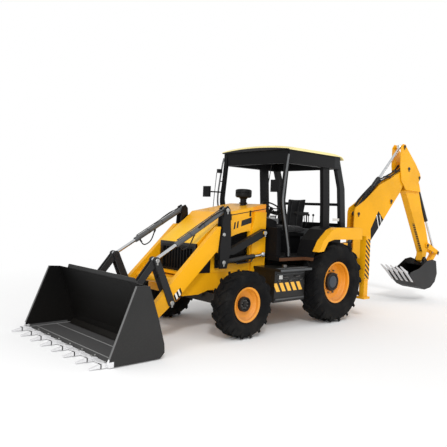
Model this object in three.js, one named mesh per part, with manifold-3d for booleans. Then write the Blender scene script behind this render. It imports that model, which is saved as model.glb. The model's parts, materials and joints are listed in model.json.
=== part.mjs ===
// Backhoe loader: a wheeled tractor with a front loader and a swinging backhoe.
// Millimetres. +X is forward, +Y is the driver's left, +Z is up. The machine is drawn with the
// ground under the rear axle as its origin, and is moved at the end so that the middle of its
// footprint's box lies at the origin.
import * as THREE from 'three';
import { mergeVertices } from 'three/addons/utils/BufferGeometryUtils.js';
import { ConvexGeometry } from 'three/addons/geometries/ConvexGeometry.js';
import Module from 'manifold-3d';

const wasm = await Module();
wasm.setup();

// ---------------------------------------------------------------- fits
const SEAT_GAP = 0.3;        // between fixed pieces that touch
const PIN_GAP = 0.5;         // round a pin or a rod in its bore
const SIDE_GAP = 6;          // beside a piece that turns or slides

// ---------------------------------------------------------------- wheels
const WHEELBASE = 2160;
const REAR = { radius: 680, half: 190, track: 860, rim: 352, rimHalf: 140, dish: 138, hub: 160, lugs: 17, tread: 34 };
const FRONT = { radius: 490, half: 160, track: 900, rim: 256, rimHalf: 115, dish: 100, hub: 110, lugs: 16, tread: 26 };
const LUG = { foot: 62, top: 44, slant: 0.3 };   // widths of a tread lug, and radians that it leans back
const RIM_WALL = 12;         // rolled steel of a rim and its disc
const RIM_FLANGE = 16;       // height of the lip over the bead seat
const HUB_RISE = 60;         // how far a hub stands out of its disc
const TYRE_SIDES = 24;
const KINGPIN_Y = 700;       // steering axis from the middle of the machine
const STUB_RADIUS = 55;      // axle stub that a wheel turns on

// ---------------------------------------------------------------- chassis
const RAIL_OUT = 420;        // outer face of the chassis side plates
const RAIL_WALL = 40;
const DECK_Z = 900;          // top of the chassis
const DECK_WALL = 40;
const RAIL_FOOT = 450;       // lowest edge of the side plates
const NOSE_X = 2900;
const NOSE_TOP = 830;
const NOSE_FOOT = 590;
const CHASSIS_REAR = -1050;
const AXLE_ARCH = 640;       // underside of the plates over the front axle
const REAR_ARCH = 800;
const TOWER_X0 = 1250;
const TOWER_X1 = 1560;
const TOWER_TOP = 1830;
const TOWER_FOOT = 840;
const TOWER_OUT = 455;       // outer face of the loader towers
const TOWER_WALL = 55;

// ---------------------------------------------------------------- bonnet and engine
const BONNET_HALF = 430;
const BONNET_FRONT = 2690;
const BONNET_NOSE_Z = 1330;
const BONNET_BROW = { x: 2500, z: 1485 };
const BONNET_SHOULDER = { x: 2214, z: 1690 };
const BONNET_CROWN = { x: 2085, z: 1805 };
const BONNET_REAR = { x: 1240, z: 1960 };
const BONNET_WALL = 25;
const VENT = { rear: 1590, front: 2080, tip: 2177, foot: 1022, low: 1356, high: 1524 };
const GRILLE_WALL = 40;
const GRILLE_BARS = 9;
const ENGINE = { x0: 1720, x1: 2500, half: 300, height: 480 };
const EXHAUST = { x: 1400, y: 60, pipe: 52, bowl: 135, z: 2050, bowlHeight: 150 };

// ---------------------------------------------------------------- cab
const CAB_HALF = 750;        // outer face of the pillars
const CAB_FLOOR_Z = 1120;
const FLOOR_WALL = 60;
const CAB_FRONT = 1210;
const CAB_REAR = -480;
const PILLAR = 70;
const ROOF_Z = 2845;         // underside of the roof
const ROOF_TOP = 2900;
const ROOF_HALF = 790;
const ROOF_FRONT = 1150;
const ROOF_REAR = -330;
const HEADER_Z = 2630;       // underside of the header below the roof
const HEADER_OUT = 768;

// ---------------------------------------------------------------- loader
const ARM_MID = 510;         // middle plane of an arm and of all that works with it
const ARM_HALF = 40;
const CHEEK_WALL = 18;       // tower and lever plates outside the arm
const ARM_PIVOT = { x: 1380, z: 1500 };
const LIFT_EYE = { x: 1360, z: 1150 };
const LIFT_PIN = { x: 2260, z: 1060 };
const TILT_TOP = { x: 2220, z: 1840 };
const BUCKET_PIN = { x: 3600, z: 280 };
const LEVER_PIN = { x: 3190, z: 540 };
const APEX = { x: 3460, z: 1130 };
const LINK_PIN = { x: 3740, z: 800 };
const PIN_RADIUS = 30;
const BOSS_RADIUS = 62;

const SHOVEL_HALF = 1183;
const SHOVEL_WALL = 22;
const SHOVEL_LIFT = 15;      // the bucket's floor over the ground
const SHOVEL_TEETH = 8;

// ---------------------------------------------------------------- backhoe
const SLEW_X = -1400;
const SWING_REST = 10;       // degrees the hoe stands to the left of straight back
const BOOM_HALF = 100;
const BOOM_PLATE = 18;
const DIPPER_WALL = 18;
const HOE_HALF = 300;
const HOE_WALL = 18;
const HOE_TEETH = 5;
// backhoe points: how far behind the swing axis, and how high
const BOOM_FOOT = { s: 300, z: 720 };
const BOOM_RAM_FOOT = { s: 230, z: 1220 };
const BOOM_RAM_PIN = { s: 1380, z: 2170 };
const DIPPER_RAM_FOOT = { s: 420, z: 1870 };
const DIPPER_PIVOT = { s: 1880, z: 2890 };
const DIPPER_RAM_PIN = { s: 1700, z: 3355 };
const HOE_RAM_FOOT = { s: 2240, z: 2722 };
const HOE_LEVER_PIN = { s: 2670, z: 1220 };
const HOE_APEX = { s: 3040, z: 1050 };
const HOE_PIVOT = { s: 2570, z: 900 };
const HOE_LINK_PIN = { s: 2750, z: 690 };

// ---------------------------------------------------------------- stabilisers
const LEG_X0 = -890;
const LEG_X1 = -750;
const LEG_OUT = 1050;
const LEG_WIDE = 120;
const LEG_WALL = 10;
const LEG_TOP = 1470;
const HOUSING_FOOT = 680;    // lower end of the housing that a leg slides in
const LEG_FOOT = 375;
const PAD = { grow: 22, thick: 38 };

// ---------------------------------------------------------------- shapes
const V = (x, y, z) => new THREE.Vector3(x, y, z);

/** A closed three.js geometry as a manifold solid. */
function solid(geometry) {
  const bare = geometry.index ? geometry.toNonIndexed() : geometry;
  for (const name of Object.keys(bare.attributes)) if (name !== 'position') bare.deleteAttribute(name);
  const merged = mergeVertices(bare, 1e-3);
  return new wasm.Manifold(new wasm.Mesh({
    numProp: 3,
    vertProperties: new Float32Array(merged.attributes.position.array),
    triVerts: new Uint32Array(merged.index.array),
  }));
}
const join = (...pieces) => pieces.reduce((whole, piece) => whole.add(piece));
const cut = (whole, ...tools) => tools.reduce((rest, tool) => rest.subtract(tool), whole);

/** A box between two corners. */
function box(x0, x1, y0, y1, z0, z1) {
  const geometry = new THREE.BoxGeometry(x1 - x0, y1 - y0, z1 - z0);
  return solid(geometry.translate((x0 + x1) / 2, (y0 + y1) / 2, (z0 + z1) / 2));
}

/** A round bar from one point to another. */
function bar(from, to, radius, sides = 12, phase = 0) {
  const along = to.clone().sub(from);
  const geometry = new THREE.CylinderGeometry(radius, radius, along.length(), sides);
  geometry.rotateY(phase);
  geometry.applyQuaternion(new THREE.Quaternion().setFromUnitVectors(V(0, 1, 0), along.clone().normalize()));
  return solid(geometry.translate(...from.clone().add(to).multiplyScalar(0.5).toArray()));
}
/** A round bar across the machine at a place seen from its side. */
const pin = (at, y0, y1, radius, sides = 12, phase = 0) =>
  bar(V(at.x, y0, at.z), V(at.x, y1, at.z), radius, sides, phase);

/** The hole for such a bar: its flats face the bar's corners and clear them by the pin's gap. */
const bore = (at, y0, y1, radius, sides = 12) =>
  pin(at, y0, y1, (radius + PIN_GAP) / Math.cos(Math.PI / sides), sides, Math.PI / sides);

/** A plate: an outline in X and Z, from y0 to y1. */
function plate(outline, y0, y1) {
  const shape = outline instanceof THREE.Shape
    ? outline
    : new THREE.Shape(outline.map(([x, z]) => new THREE.Vector2(x, z)));
  const geometry = new THREE.ExtrudeGeometry(shape, { depth: y1 - y0, bevelEnabled: false, curveSegments: 6 });
  return solid(geometry.rotateX(Math.PI / 2).translate(0, y1, 0));
}
/** An outline in X and Y, from z0 to z1. */
function slab(outline, z0, z1) {
  const shape = new THREE.Shape(outline.map(([x, y]) => new THREE.Vector2(x, y)));
  return solid(new THREE.ExtrudeGeometry(shape, { depth: z1 - z0, bevelEnabled: false }).translate(0, 0, z0));
}
/** The solid that just wraps a set of corners. */
const hull = (points) => solid(new ConvexGeometry(points));
/** A turned ring or disc round a wheel's axle: radius and sideways place of each point. */
function turned(profile, at, side) {
  const points = profile.map(([radius, y]) => new THREE.Vector2(radius, side * y));
  if (side < 0) points.reverse();
  const geometry = new THREE.LatheGeometry(points, TYRE_SIDES);
  return solid(geometry.translate(at.x, at.y, at.z));
}

const group = new THREE.Group();
const materials = {
  yellow: { color: 0xf2a81d, roughness: 0.45, metalness: 0 },
  black: { color: 0x1b1c1f, roughness: 0.55, metalness: 0 },
  darkSteel: { color: 0x3a3c40, roughness: 0.5, metalness: 0.6 },
  rubber: { color: 0x202123, roughness: 0.9, metalness: 0 },
  chrome: { color: 0xc9ccd0, roughness: 0.2, metalness: 1 },
  grey: { color: 0x6d7075, roughness: 0.5, metalness: 0.2 },
  cloth: { color: 0x17181a, roughness: 0.95, metalness: 0 },
};
/** Puts a solid into the machine as a named mesh of its own. */
function add(name, piece, finish, parent = group) {
  const made = piece.getMesh();
  const geometry = new THREE.BufferGeometry();
  geometry.setAttribute('position', new THREE.BufferAttribute(made.vertProperties, 3));
  geometry.setIndex(new THREE.BufferAttribute(made.triVerts, 1));
  const mesh = new THREE.Mesh(geometry, new THREE.MeshStandardMaterial(materials[finish]));
  mesh.name = name;
  parent.add(mesh);
}
const sides = [['left', 1], ['right', -1]];
/** The mirror image of a solid across the middle of the machine. */
const mirrored = (piece, side) => (side > 0 ? piece : piece.mirror([0, 1, 0]));

// ================================================================ wheels and axles
/** A tyre's carcass: sidewalls that bulge from the bead to the foot of the tread lugs. */
function tyreProfile({ radius, half, rim, rimHalf, tread }) {
  const seat = rim - RIM_FLANGE + SEAT_GAP;
  const bead = rimHalf - RIM_WALL - SEAT_GAP;
  const wall = (radius - rim) / 3;
  const crown = radius - tread;
  return [
    [seat, -bead], [rim + SEAT_GAP, -bead], [rim + wall, -half], [radius - wall * 0.9, -half],
    [crown, -half * 0.78], [crown, half * 0.78], [radius - wall * 0.9, half],
    [rim + wall, half], [rim + SEAT_GAP, bead], [seat, bead], [seat, -bead],
  ];
}
/** One tread lug, from the middle of the tread back and out to the shoulder on one flank. */
function lug({ radius, half, tread }, turn, flank) {
  const foot = radius - tread - 8;
  const corners = [];
  for (const [r, wide, reach] of [[radius, LUG.top, half * 0.94], [foot, LUG.foot, half * 0.76]]) {
    for (const [y, lean] of [[-10, 0], [reach, LUG.slant]]) {
      for (const edge of [-0.5, 0.5]) {
        const angle = turn + lean + (edge * wide) / radius;
        corners.push(V(r * Math.sin(angle), flank * y, -r * Math.cos(angle)));
      }
    }
  }
  return hull(corners);
}
/** A whole tyre: the carcass with a row of lugs on each flank, half a pitch apart. */
function tyre(wheel, at, side) {
  const pitch = (2 * Math.PI) / wheel.lugs;
  const lugs = [];
  for (let i = 0; i < wheel.lugs; i += 1) {
    lugs.push(lug(wheel, i * pitch, 1), lug(wheel, (i + 0.5) * pitch, -1));
  }
  return join(turned(tyreProfile(wheel), V(0, 0, 0), side), ...lugs).translate(at.toArray());
}
/** A rim: a barrel with two flanges, a dished disc and the hub, one turned solid. */
function rimProfile({ rim, rimHalf, dish, hub }) {
  const seat = rim - RIM_FLANGE;
  const inner = seat - RIM_WALL;
  const face = rimHalf - dish;
  return [
    [0, face - RIM_WALL * 2], [inner, face - RIM_WALL], [inner, -rimHalf], [rim, -rimHalf],
    [rim, -rimHalf + RIM_WALL], [seat, -rimHalf + RIM_WALL], [seat, rimHalf - RIM_WALL],
    [rim, rimHalf - RIM_WALL], [rim, rimHalf], [inner, rimHalf], [inner, face],
    [hub, face], [hub * 0.9, face + HUB_RISE], [0, face + HUB_RISE],
  ];
}
const axles = [['rear', REAR, 0], ['front', FRONT, WHEELBASE]];
for (const [end, wheel, x] of axles) {
  for (const [name, side] of sides) {
    const at = V(x, side * wheel.track, wheel.radius);
    add(`${end}_tyre_${name}`, tyre(wheel, at, side), 'rubber');
    add(`${end}_rim_${name}`, turned(rimProfile(wheel), at, side), 'yellow');
  }
}
/** Where the inner face of a wheel's disc is at its axle. */
const discBack = (wheel) => wheel.track + wheel.rimHalf - wheel.dish - RIM_WALL * 2;

const rearAxle = [
  bar(V(0, -discBack(REAR) + PIN_GAP, REAR.radius), V(0, discBack(REAR) - PIN_GAP, REAR.radius), 95, 20),
  bar(V(0, -170, REAR.radius), V(0, 170, REAR.radius), 175, 20),
  box(-120, 120, -170, 170, REAR.radius + 60, DECK_Z - DECK_WALL - SEAT_GAP),
];
add('rear_axle', join(...rearAxle), 'darkSteel');

const AXLE_END = 610;        // where the front beam meets its yokes
const YOKE_HALF = 95;        // height of a yoke's inside from the axle's middle
const YOKE_WALL = 30;
const front = V(WHEELBASE, 0, FRONT.radius);
const frontAxle = [
  box(front.x - 75, front.x + 75, -AXLE_END, AXLE_END, front.z - 75, front.z + 75),
  box(front.x - 110, front.x + 110, -120, 120, front.z, AXLE_ARCH + 60),
  box(front.x - 150, front.x + 150, -RAIL_OUT + RAIL_WALL + SEAT_GAP, RAIL_OUT - RAIL_WALL - SEAT_GAP,
    AXLE_ARCH + 40, DECK_Z - DECK_WALL - SEAT_GAP),
];
// each end carries a C-shaped yoke that holds the kingpin above and below
const yokeOutline = [[-60, AXLE_END - 45], [60, AXLE_END - 45], [60, KINGPIN_Y], [42, KINGPIN_Y + 42],
  [0, KINGPIN_Y + 60], [-42, KINGPIN_Y + 42], [-60, KINGPIN_Y]].map(([x, y]) => [front.x + x, y]);
for (const [, side] of sides) {
  const reach = YOKE_HALF + YOKE_WALL;
  const yoke = cut(slab(yokeOutline, front.z - reach, front.z + reach),
    box(front.x - 80, front.x + 80, AXLE_END, KINGPIN_Y + 80, front.z - YOKE_HALF, front.z + YOKE_HALF));
  frontAxle.push(mirrored(yoke, side));
}
add('front_axle', join(...frontAxle), 'darkSteel');
for (const [name, side] of sides) {
  const post = YOKE_HALF - PIN_GAP;
  const knuckle = join(
    bar(V(front.x, KINGPIN_Y, front.z - post), V(front.x, KINGPIN_Y, front.z + post), STUB_RADIUS),
    bar(V(front.x, KINGPIN_Y, front.z), V(front.x, discBack(FRONT) - PIN_GAP, front.z), STUB_RADIUS),
  );
  add(`steering_knuckle_${name}`, mirrored(knuckle, side), 'darkSteel');
}

// ================================================================ chassis, towers and rear frame
const railOutline = [
  [CHASSIS_REAR, RAIL_FOOT], [-400, RAIL_FOOT], [-250, REAR_ARCH], [250, REAR_ARCH], [400, RAIL_FOOT],
  [1700, RAIL_FOOT], [1880, AXLE_ARCH], [2420, AXLE_ARCH], [2600, NOSE_FOOT], [NOSE_X, NOSE_FOOT],
  [NOSE_X, NOSE_TOP], [NOSE_X - 120, DECK_Z], [CHASSIS_REAR, DECK_Z],
];
const REAR_POST = { x0: -1230, x1: -1100, half: 330, foot: 420, top: 1290 };
const SLEW_PIN = 45;
const LUG_WALL = 70;
const chassis = [
  plate(railOutline, RAIL_OUT - RAIL_WALL, RAIL_OUT),
  plate(railOutline, -RAIL_OUT, -RAIL_OUT + RAIL_WALL),
  box(CHASSIS_REAR, NOSE_X - 130, -RAIL_OUT, RAIL_OUT, DECK_Z - DECK_WALL, DECK_Z),
  box(NOSE_X - 200, NOSE_X, -RAIL_OUT, RAIL_OUT, NOSE_FOOT, NOSE_TOP),
  box(REAR_POST.x0, REAR_POST.x1, -REAR_POST.half, REAR_POST.half, REAR_POST.foot, REAR_POST.top),
  box(REAR_POST.x0, CHASSIS_REAR + 60, -RAIL_OUT, RAIL_OUT, RAIL_FOOT, DECK_Z),
];
const towerOutline = [
  [TOWER_X0, TOWER_FOOT], [TOWER_X1, TOWER_FOOT], [TOWER_X1, 1560], [TOWER_X1 - 60, TOWER_TOP],
  [TOWER_X0, TOWER_TOP],
];
for (const [, side] of sides) {
  const tower = [
    plate(towerOutline, TOWER_OUT - TOWER_WALL, TOWER_OUT),
    pin(ARM_PIVOT, TOWER_OUT - 5, ARM_MID + ARM_HALF + 20, PIN_RADIUS),
    pin(LIFT_EYE, TOWER_OUT - 5, ARM_MID - ARM_HALF / 2 - SIDE_GAP, 45),
  ];
  chassis.push(...tower.map((piece) => mirrored(piece, side)));
}
// the two lugs that hold the swing post, with the pins that it turns on
const LUG_Z = [470, 1180];
for (const z of LUG_Z) {
  chassis.push(slab([[REAR_POST.x0 + 10, -105], [REAR_POST.x0 + 10, 105], [SLEW_X, 85], [SLEW_X, -85]],
    z - LUG_WALL / 2, z + LUG_WALL / 2));
  chassis.push(bar(V(SLEW_X, 0, z - LUG_WALL / 2), V(SLEW_X, 0, z + LUG_WALL / 2), 85, 20));
}
add('chassis_frame', join(...chassis), 'yellow');

// transverse rear frame with the two stabiliser housings
const legBox = (grow, z0, z1) => box(LEG_X0 + grow, LEG_X1 - grow, LEG_OUT - LEG_WIDE + grow, LEG_OUT - grow,
  z0, z1);
const rearFrame = [];
for (const [, side] of sides) {
  rearFrame.push(mirrored(join(
    legBox(0, HOUSING_FOOT, LEG_TOP),
    box(LEG_X0, LEG_X1, RAIL_OUT + SEAT_GAP, LEG_OUT - LEG_WIDE + 5, HOUSING_FOOT, HOUSING_FOOT + 90),
    box(LEG_X0, LEG_X1, RAIL_OUT + SEAT_GAP, LEG_OUT - LEG_WIDE + 5, DECK_Z - 100, DECK_Z + 160),
  ), side));
}
const BRIDGE_Z = DECK_Z + SEAT_GAP;
rearFrame.push(box(LEG_X0, LEG_X1, -RAIL_OUT - 20, RAIL_OUT + 20, BRIDGE_Z, DECK_Z + 160));
const bores = sides.map(([, side]) => mirrored(legBox(LEG_WALL, HOUSING_FOOT - 1, LEG_TOP - LEG_WALL),
  side));
add('rear_frame', cut(join(...rearFrame), ...bores), 'yellow');
for (const [name, side] of sides) {
  const leg = join(
    legBox(LEG_WALL + PIN_GAP, LEG_FOOT - 1, LEG_TOP - LEG_WALL - 20),
    legBox(-PAD.grow, LEG_FOOT - PAD.thick, LEG_FOOT),
  );
  add(`stabiliser_leg_${name}`, mirrored(leg, side), 'yellow');
}

// ================================================================ engine, bonnet, grille, exhaust
add('engine_block', box(ENGINE.x0, ENGINE.x1, -ENGINE.half, ENGINE.half, DECK_Z + SEAT_GAP,
  DECK_Z + ENGINE.height), 'darkSteel');

const bonnetFoot = DECK_Z + SEAT_GAP;
const bonnetOutline = (wall) => [
  [BONNET_REAR.x + wall, bonnetFoot - (wall ? 1 : 0)], [BONNET_FRONT - wall, bonnetFoot - (wall ? 1 : 0)],
  [BONNET_FRONT - wall, BONNET_NOSE_Z - wall * 0.6], [BONNET_BROW.x - wall * 0.6, BONNET_BROW.z - wall],
  [BONNET_SHOULDER.x - wall * 0.6, BONNET_SHOULDER.z - wall], [BONNET_CROWN.x - wall * 0.3, BONNET_CROWN.z - wall],
  [BONNET_REAR.x + wall, BONNET_REAR.z - wall],
];
const towerRoom = TOWER_OUT - TOWER_WALL - SEAT_GAP;
let bonnet = cut(plate(bonnetOutline(0), -BONNET_HALF, BONNET_HALF),
  ...sides.map(([, side]) => mirrored(
    box(BONNET_REAR.x - 1, TOWER_X1 + SEAT_GAP, towerRoom, BONNET_HALF + 1, bonnetFoot - 1, TOWER_TOP + SEAT_GAP),
    side)));
const inside = towerRoom - BONNET_WALL;
// the opening in each side: its front leans forward and its top edge sweeps up to the rear
const vent = new THREE.Shape();
vent.moveTo(VENT.rear, VENT.foot);
vent.lineTo(VENT.front, VENT.foot);
vent.lineTo(VENT.tip, VENT.low);
vent.quadraticCurveTo((VENT.rear + VENT.tip) / 2, VENT.high - 20, VENT.rear, VENT.high);
bonnet = cut(bonnet,
  plate(bonnetOutline(BONNET_WALL), -inside, inside),
  box(TOWER_X1 + BONNET_WALL, BONNET_FRONT - 60, -BONNET_HALF + BONNET_WALL, BONNET_HALF - BONNET_WALL,
    bonnetFoot - 1, BONNET_NOSE_Z - 60),
  ...sides.map(([, side]) => mirrored(plate(vent, inside - 10, BONNET_HALF + 1), side)),
  box(BONNET_FRONT - 61, BONNET_FRONT + 1, -BONNET_HALF + 40, BONNET_HALF - 40, bonnetFoot - 1, BONNET_NOSE_Z - 40),
  bar(V(EXHAUST.x, EXHAUST.y, BONNET_REAR.z - 200), V(EXHAUST.x, EXHAUST.y, BONNET_REAR.z + 100),
    EXHAUST.pipe + PIN_GAP));
add('bonnet', bonnet, 'yellow');

// the radiator grille fills the nose's mouth: a frame with upright slats
const mouth = BONNET_HALF - 40 - SEAT_GAP;
const grilleTop = BONNET_NOSE_Z - 40 - SEAT_GAP;
const grille = [cut(box(BONNET_FRONT - GRILLE_WALL, BONNET_FRONT, -mouth, mouth, bonnetFoot, grilleTop),
  box(BONNET_FRONT - GRILLE_WALL - 1, BONNET_FRONT + 1, -mouth + 35, mouth - 35, bonnetFoot + 35, grilleTop - 35))];
for (let i = 1; i <= GRILLE_BARS; i += 1) {
  const y = -mouth + 35 + (i * (2 * mouth - 70)) / (GRILLE_BARS + 1);
  grille.push(box(BONNET_FRONT - GRILLE_WALL + 5, BONNET_FRONT - 12, y - 9, y + 9, bonnetFoot + 20, grilleTop - 20));
}
add('grille', join(...grille), 'black');

const exhaust = join(
  bar(V(EXHAUST.x, EXHAUST.y, BONNET_REAR.z - 180), V(EXHAUST.x, EXHAUST.y, EXHAUST.z + 20), EXHAUST.pipe),
  bar(V(EXHAUST.x, EXHAUST.y, EXHAUST.z), V(EXHAUST.x, EXHAUST.y, EXHAUST.z + EXHAUST.bowlHeight), EXHAUST.bowl, 24),
);
add('exhaust_stack', exhaust, 'black');

// ================================================================ cab
const FENDER = { in: 915, out: 1050, top: 1615, wall: 28, front: 605, rear: -620, skirt: 205 };
const TUB_IN = 560;          // inner walls of the wheel tubs, at the sides of the floor
const TUB_WALL = 30;
const floorOutline = [
  [CAB_REAR, -TUB_IN - 5], [CAB_FRONT, -TUB_IN - 5], [CAB_FRONT, TUB_IN + 5], [CAB_REAR, TUB_IN + 5],
];
const cabFloor = [
  slab(floorOutline, CAB_FLOOR_Z - FLOOR_WALL, CAB_FLOOR_Z),
  box(FENDER.front - 40, CAB_FRONT, -CAB_HALF, CAB_HALF, CAB_FLOOR_Z - FLOOR_WALL, CAB_FLOOR_Z),
  box(CAB_REAR + 160, CAB_FRONT - 100, -380, 380, DECK_Z + SEAT_GAP, CAB_FLOOR_Z - FLOOR_WALL),
  box(CAB_REAR, CAB_REAR + 30, -TUB_IN - 5, TUB_IN + 5, CAB_FLOOR_Z - 5, FENDER.top),
];
/** The curve of a wheel arch, drawn in by a wall: from the front of the fender up and back. */
const arch = (wall) => [
  [FENDER.front - 115 - wall * 0.9, 1395 - wall * 0.4], [FENDER.front - 340 - wall * 0.5, 1572 - wall * 0.9],
  [FENDER.front - 465, FENDER.top - wall],
];
// the tub over each rear wheel, between the floor and the fender
for (const [, side] of sides) {
  cabFloor.push(mirrored(cut(
    plate([[FENDER.front, CAB_FLOOR_Z - FLOOR_WALL], ...arch(0), [FENDER.rear, FENDER.top],
      [FENDER.rear, CAB_FLOOR_Z - FLOOR_WALL]], TUB_IN, FENDER.in),
    plate([[FENDER.front - TUB_WALL, CAB_FLOOR_Z - FLOOR_WALL - 1], ...arch(TUB_WALL),
      [FENDER.rear - 1, FENDER.top - TUB_WALL], [FENDER.rear - 1, CAB_FLOOR_Z - FLOOR_WALL - 1]],
    TUB_IN + TUB_WALL, FENDER.in + 1)), side));
}
add('cab_floor', join(...cabFloor), 'black');

// pillars as posts between the floor or fenders and the roof: place at the foot, the knee and the top
const pillars = [
  // foot x, foot z, knee x, knee z, top x, depth along the machine
  { foot: [970, CAB_FLOOR_Z], knee: [1165, 2030], top: 1085, deep: 52 },
  { foot: [45, FENDER.top], knee: [65, 2030], top: 130, deep: 180 },
  { foot: [-450, FENDER.top], knee: [-380, 2300], top: -180, deep: 140 },
];
const cabFrame = [];
for (const [, side] of sides) {
  for (const { foot, knee, top, deep } of pillars) {
    const outline = [
      [foot[0] - deep / 2, foot[1] + SEAT_GAP], [foot[0] + deep / 2, foot[1] + SEAT_GAP],
      [knee[0] + deep / 2, knee[1]], [top + deep / 2, ROOF_Z - SEAT_GAP],
      [top - deep / 2, ROOF_Z - SEAT_GAP], [knee[0] - deep / 2, knee[1]],
    ];
    cabFrame.push(mirrored(plate(outline, CAB_HALF - PILLAR, CAB_HALF), side));
  }
  cabFrame.push(mirrored(box(-250, 1110, CAB_HALF - PILLAR, HEADER_OUT, HEADER_Z, ROOF_Z - SEAT_GAP), side));
  // mirror and its arm, ahead of the front pillar; the left one sits a little higher
  const mirrorZ = side > 0 ? 2245 : 2155;
  cabFrame.push(mirrored(join(
    bar(V(1150, CAB_HALF - 30, mirrorZ), V(1455, CAB_HALF + 40, mirrorZ), 12, 8),
    box(1440, 1475, CAB_HALF - 25, CAB_HALF + 145, mirrorZ - 95, mirrorZ + 95),
  ), side));
}
cabFrame.push(box(1055, 1110, -CAB_HALF, CAB_HALF, HEADER_Z, ROOF_Z - SEAT_GAP));
cabFrame.push(box(-250, -195, -CAB_HALF, CAB_HALF, HEADER_Z, ROOF_Z - SEAT_GAP));
cabFrame.push(box(-470, -420, -CAB_HALF, CAB_HALF, FENDER.top + SEAT_GAP, FENDER.top + 60));
cabFrame.push(box(-440, -400, -CAB_HALF + PILLAR - 5, CAB_HALF - PILLAR + 5, 1990, 2040));
add('cab_frame', join(...cabFrame), 'black');

const roof = plate([
  [ROOF_REAR, ROOF_Z - 50], [ROOF_REAR + 70, ROOF_Z], [ROOF_FRONT - 20, ROOF_Z], [ROOF_FRONT, ROOF_Z + 20],
  [ROOF_FRONT - 20, ROOF_TOP - 14], [ROOF_FRONT - 160, ROOF_TOP], [ROOF_REAR + 260, ROOF_TOP],
  [ROOF_REAR + 30, ROOF_TOP - 60],
], -ROOF_HALF, ROOF_HALF);
add('cab_roof', roof, 'yellow');

for (const [name, side] of sides) {
  const skirt = FENDER.top - FENDER.skirt;
  const outer = [
    [FENDER.front, 1215], ...arch(0), [FENDER.rear, FENDER.top], [FENDER.rear, skirt], [205, skirt + 8],
    [360, skirt - 30], [FENDER.front - 130, 1225],
  ];
  const room = [
    [FENDER.front - FENDER.wall, 1190], ...arch(FENDER.wall), [FENDER.rear - 1, FENDER.top - FENDER.wall],
    [FENDER.rear - 1, 1000], [300, 1000],
  ];
  const fender = cut(plate(outer, FENDER.in + SEAT_GAP, FENDER.out),
    plate(room, FENDER.in, FENDER.out - FENDER.wall));
  add(`rear_fender_${name}`, mirrored(fender, side), 'yellow');
}

const CONSOLE = { x0: 760, x1: 1100, half: 250, top: 1720 };
const COWL = { half: 660, top: 1590 };   // front panel of the cab, under the windscreen's place
const WHEEL_AT = V(640, 0, 1900);
const tilt = new THREE.Vector3(-0.55, 0, 0.84).normalize();
const consoleBody = join(
  box(CONSOLE.x0, CONSOLE.x1, -CONSOLE.half, CONSOLE.half, CAB_FLOOR_Z + SEAT_GAP, CONSOLE.top),
  box(CONSOLE.x1 - 5, CAB_FRONT - 10, -COWL.half, COWL.half, CAB_FLOOR_Z + SEAT_GAP, COWL.top),
  bar(V(CONSOLE.x0 + 60, 0, CONSOLE.top - 60), WHEEL_AT.clone().addScaledVector(tilt, -12), 30, 12),
);
const ring = new THREE.TorusGeometry(190, 15, 6, 20);
ring.applyQuaternion(new THREE.Quaternion().setFromUnitVectors(V(0, 0, 1), tilt));
const steering = join(
  solid(ring.translate(...WHEEL_AT.toArray())),
  bar(V(WHEEL_AT.x, -185, WHEEL_AT.z), V(WHEEL_AT.x, 185, WHEEL_AT.z), 11, 8),
  bar(WHEEL_AT.clone().addScaledVector(tilt, -15), WHEEL_AT.clone().addScaledVector(tilt, 15), 35, 12),
);
add('dash_console', cut(consoleBody, bar(WHEEL_AT.clone().addScaledVector(tilt, -15.3),
  WHEEL_AT.clone().addScaledVector(tilt, 30), 36, 12)), 'black');
add('steering_wheel', steering, 'black');

const SEAT = { x0: -40, x1: 460, half: 240, backHalf: 205, z: 1480, cushion: 130, backTop: 2100 };
add('seat_base', join(
  box(SEAT.x0 + 80, SEAT.x1 - 80, -180, 180, CAB_FLOOR_Z + SEAT_GAP, SEAT.z - 60),
  box(SEAT.x0 + 20, SEAT.x1 - 20, -210, 210, SEAT.z - 60, SEAT.z - SEAT_GAP),
), 'black');
add('seat_cushions', join(
  box(SEAT.x0, SEAT.x1, -SEAT.half, SEAT.half, SEAT.z, SEAT.z + SEAT.cushion),
  plate([[SEAT.x0, SEAT.z + 40], [SEAT.x0 + 120, SEAT.z + 40], [SEAT.x0 + 40, SEAT.backTop],
    [SEAT.x0 - 80, SEAT.backTop]], -SEAT.backHalf, SEAT.backHalf),
), 'cloth');

// side boxes between the wheels, with the step
const SIDE_BOX = { x0: 760, x1: 1480, out: 900, foot: 440, top: 930 };
for (const [name, side] of [['toolbox_left', 1], ['fuel_tank_right', -1]]) {
  const chest = join(
    box(SIDE_BOX.x0, SIDE_BOX.x1, TOWER_OUT + SEAT_GAP, SIDE_BOX.out, SIDE_BOX.foot, SIDE_BOX.top),
    box(SIDE_BOX.x0 + 60, SIDE_BOX.x1 - 60, RAIL_OUT + SEAT_GAP, SIDE_BOX.out, SIDE_BOX.foot + 60, TOWER_FOOT - SEAT_GAP),
    box(SIDE_BOX.x0 - 20, SIDE_BOX.x1 + 20, TOWER_OUT + SEAT_GAP, SIDE_BOX.out + 130, SIDE_BOX.top, SIDE_BOX.top + 40),
  );
  add(name, mirrored(chest, side), 'black');
}

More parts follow.
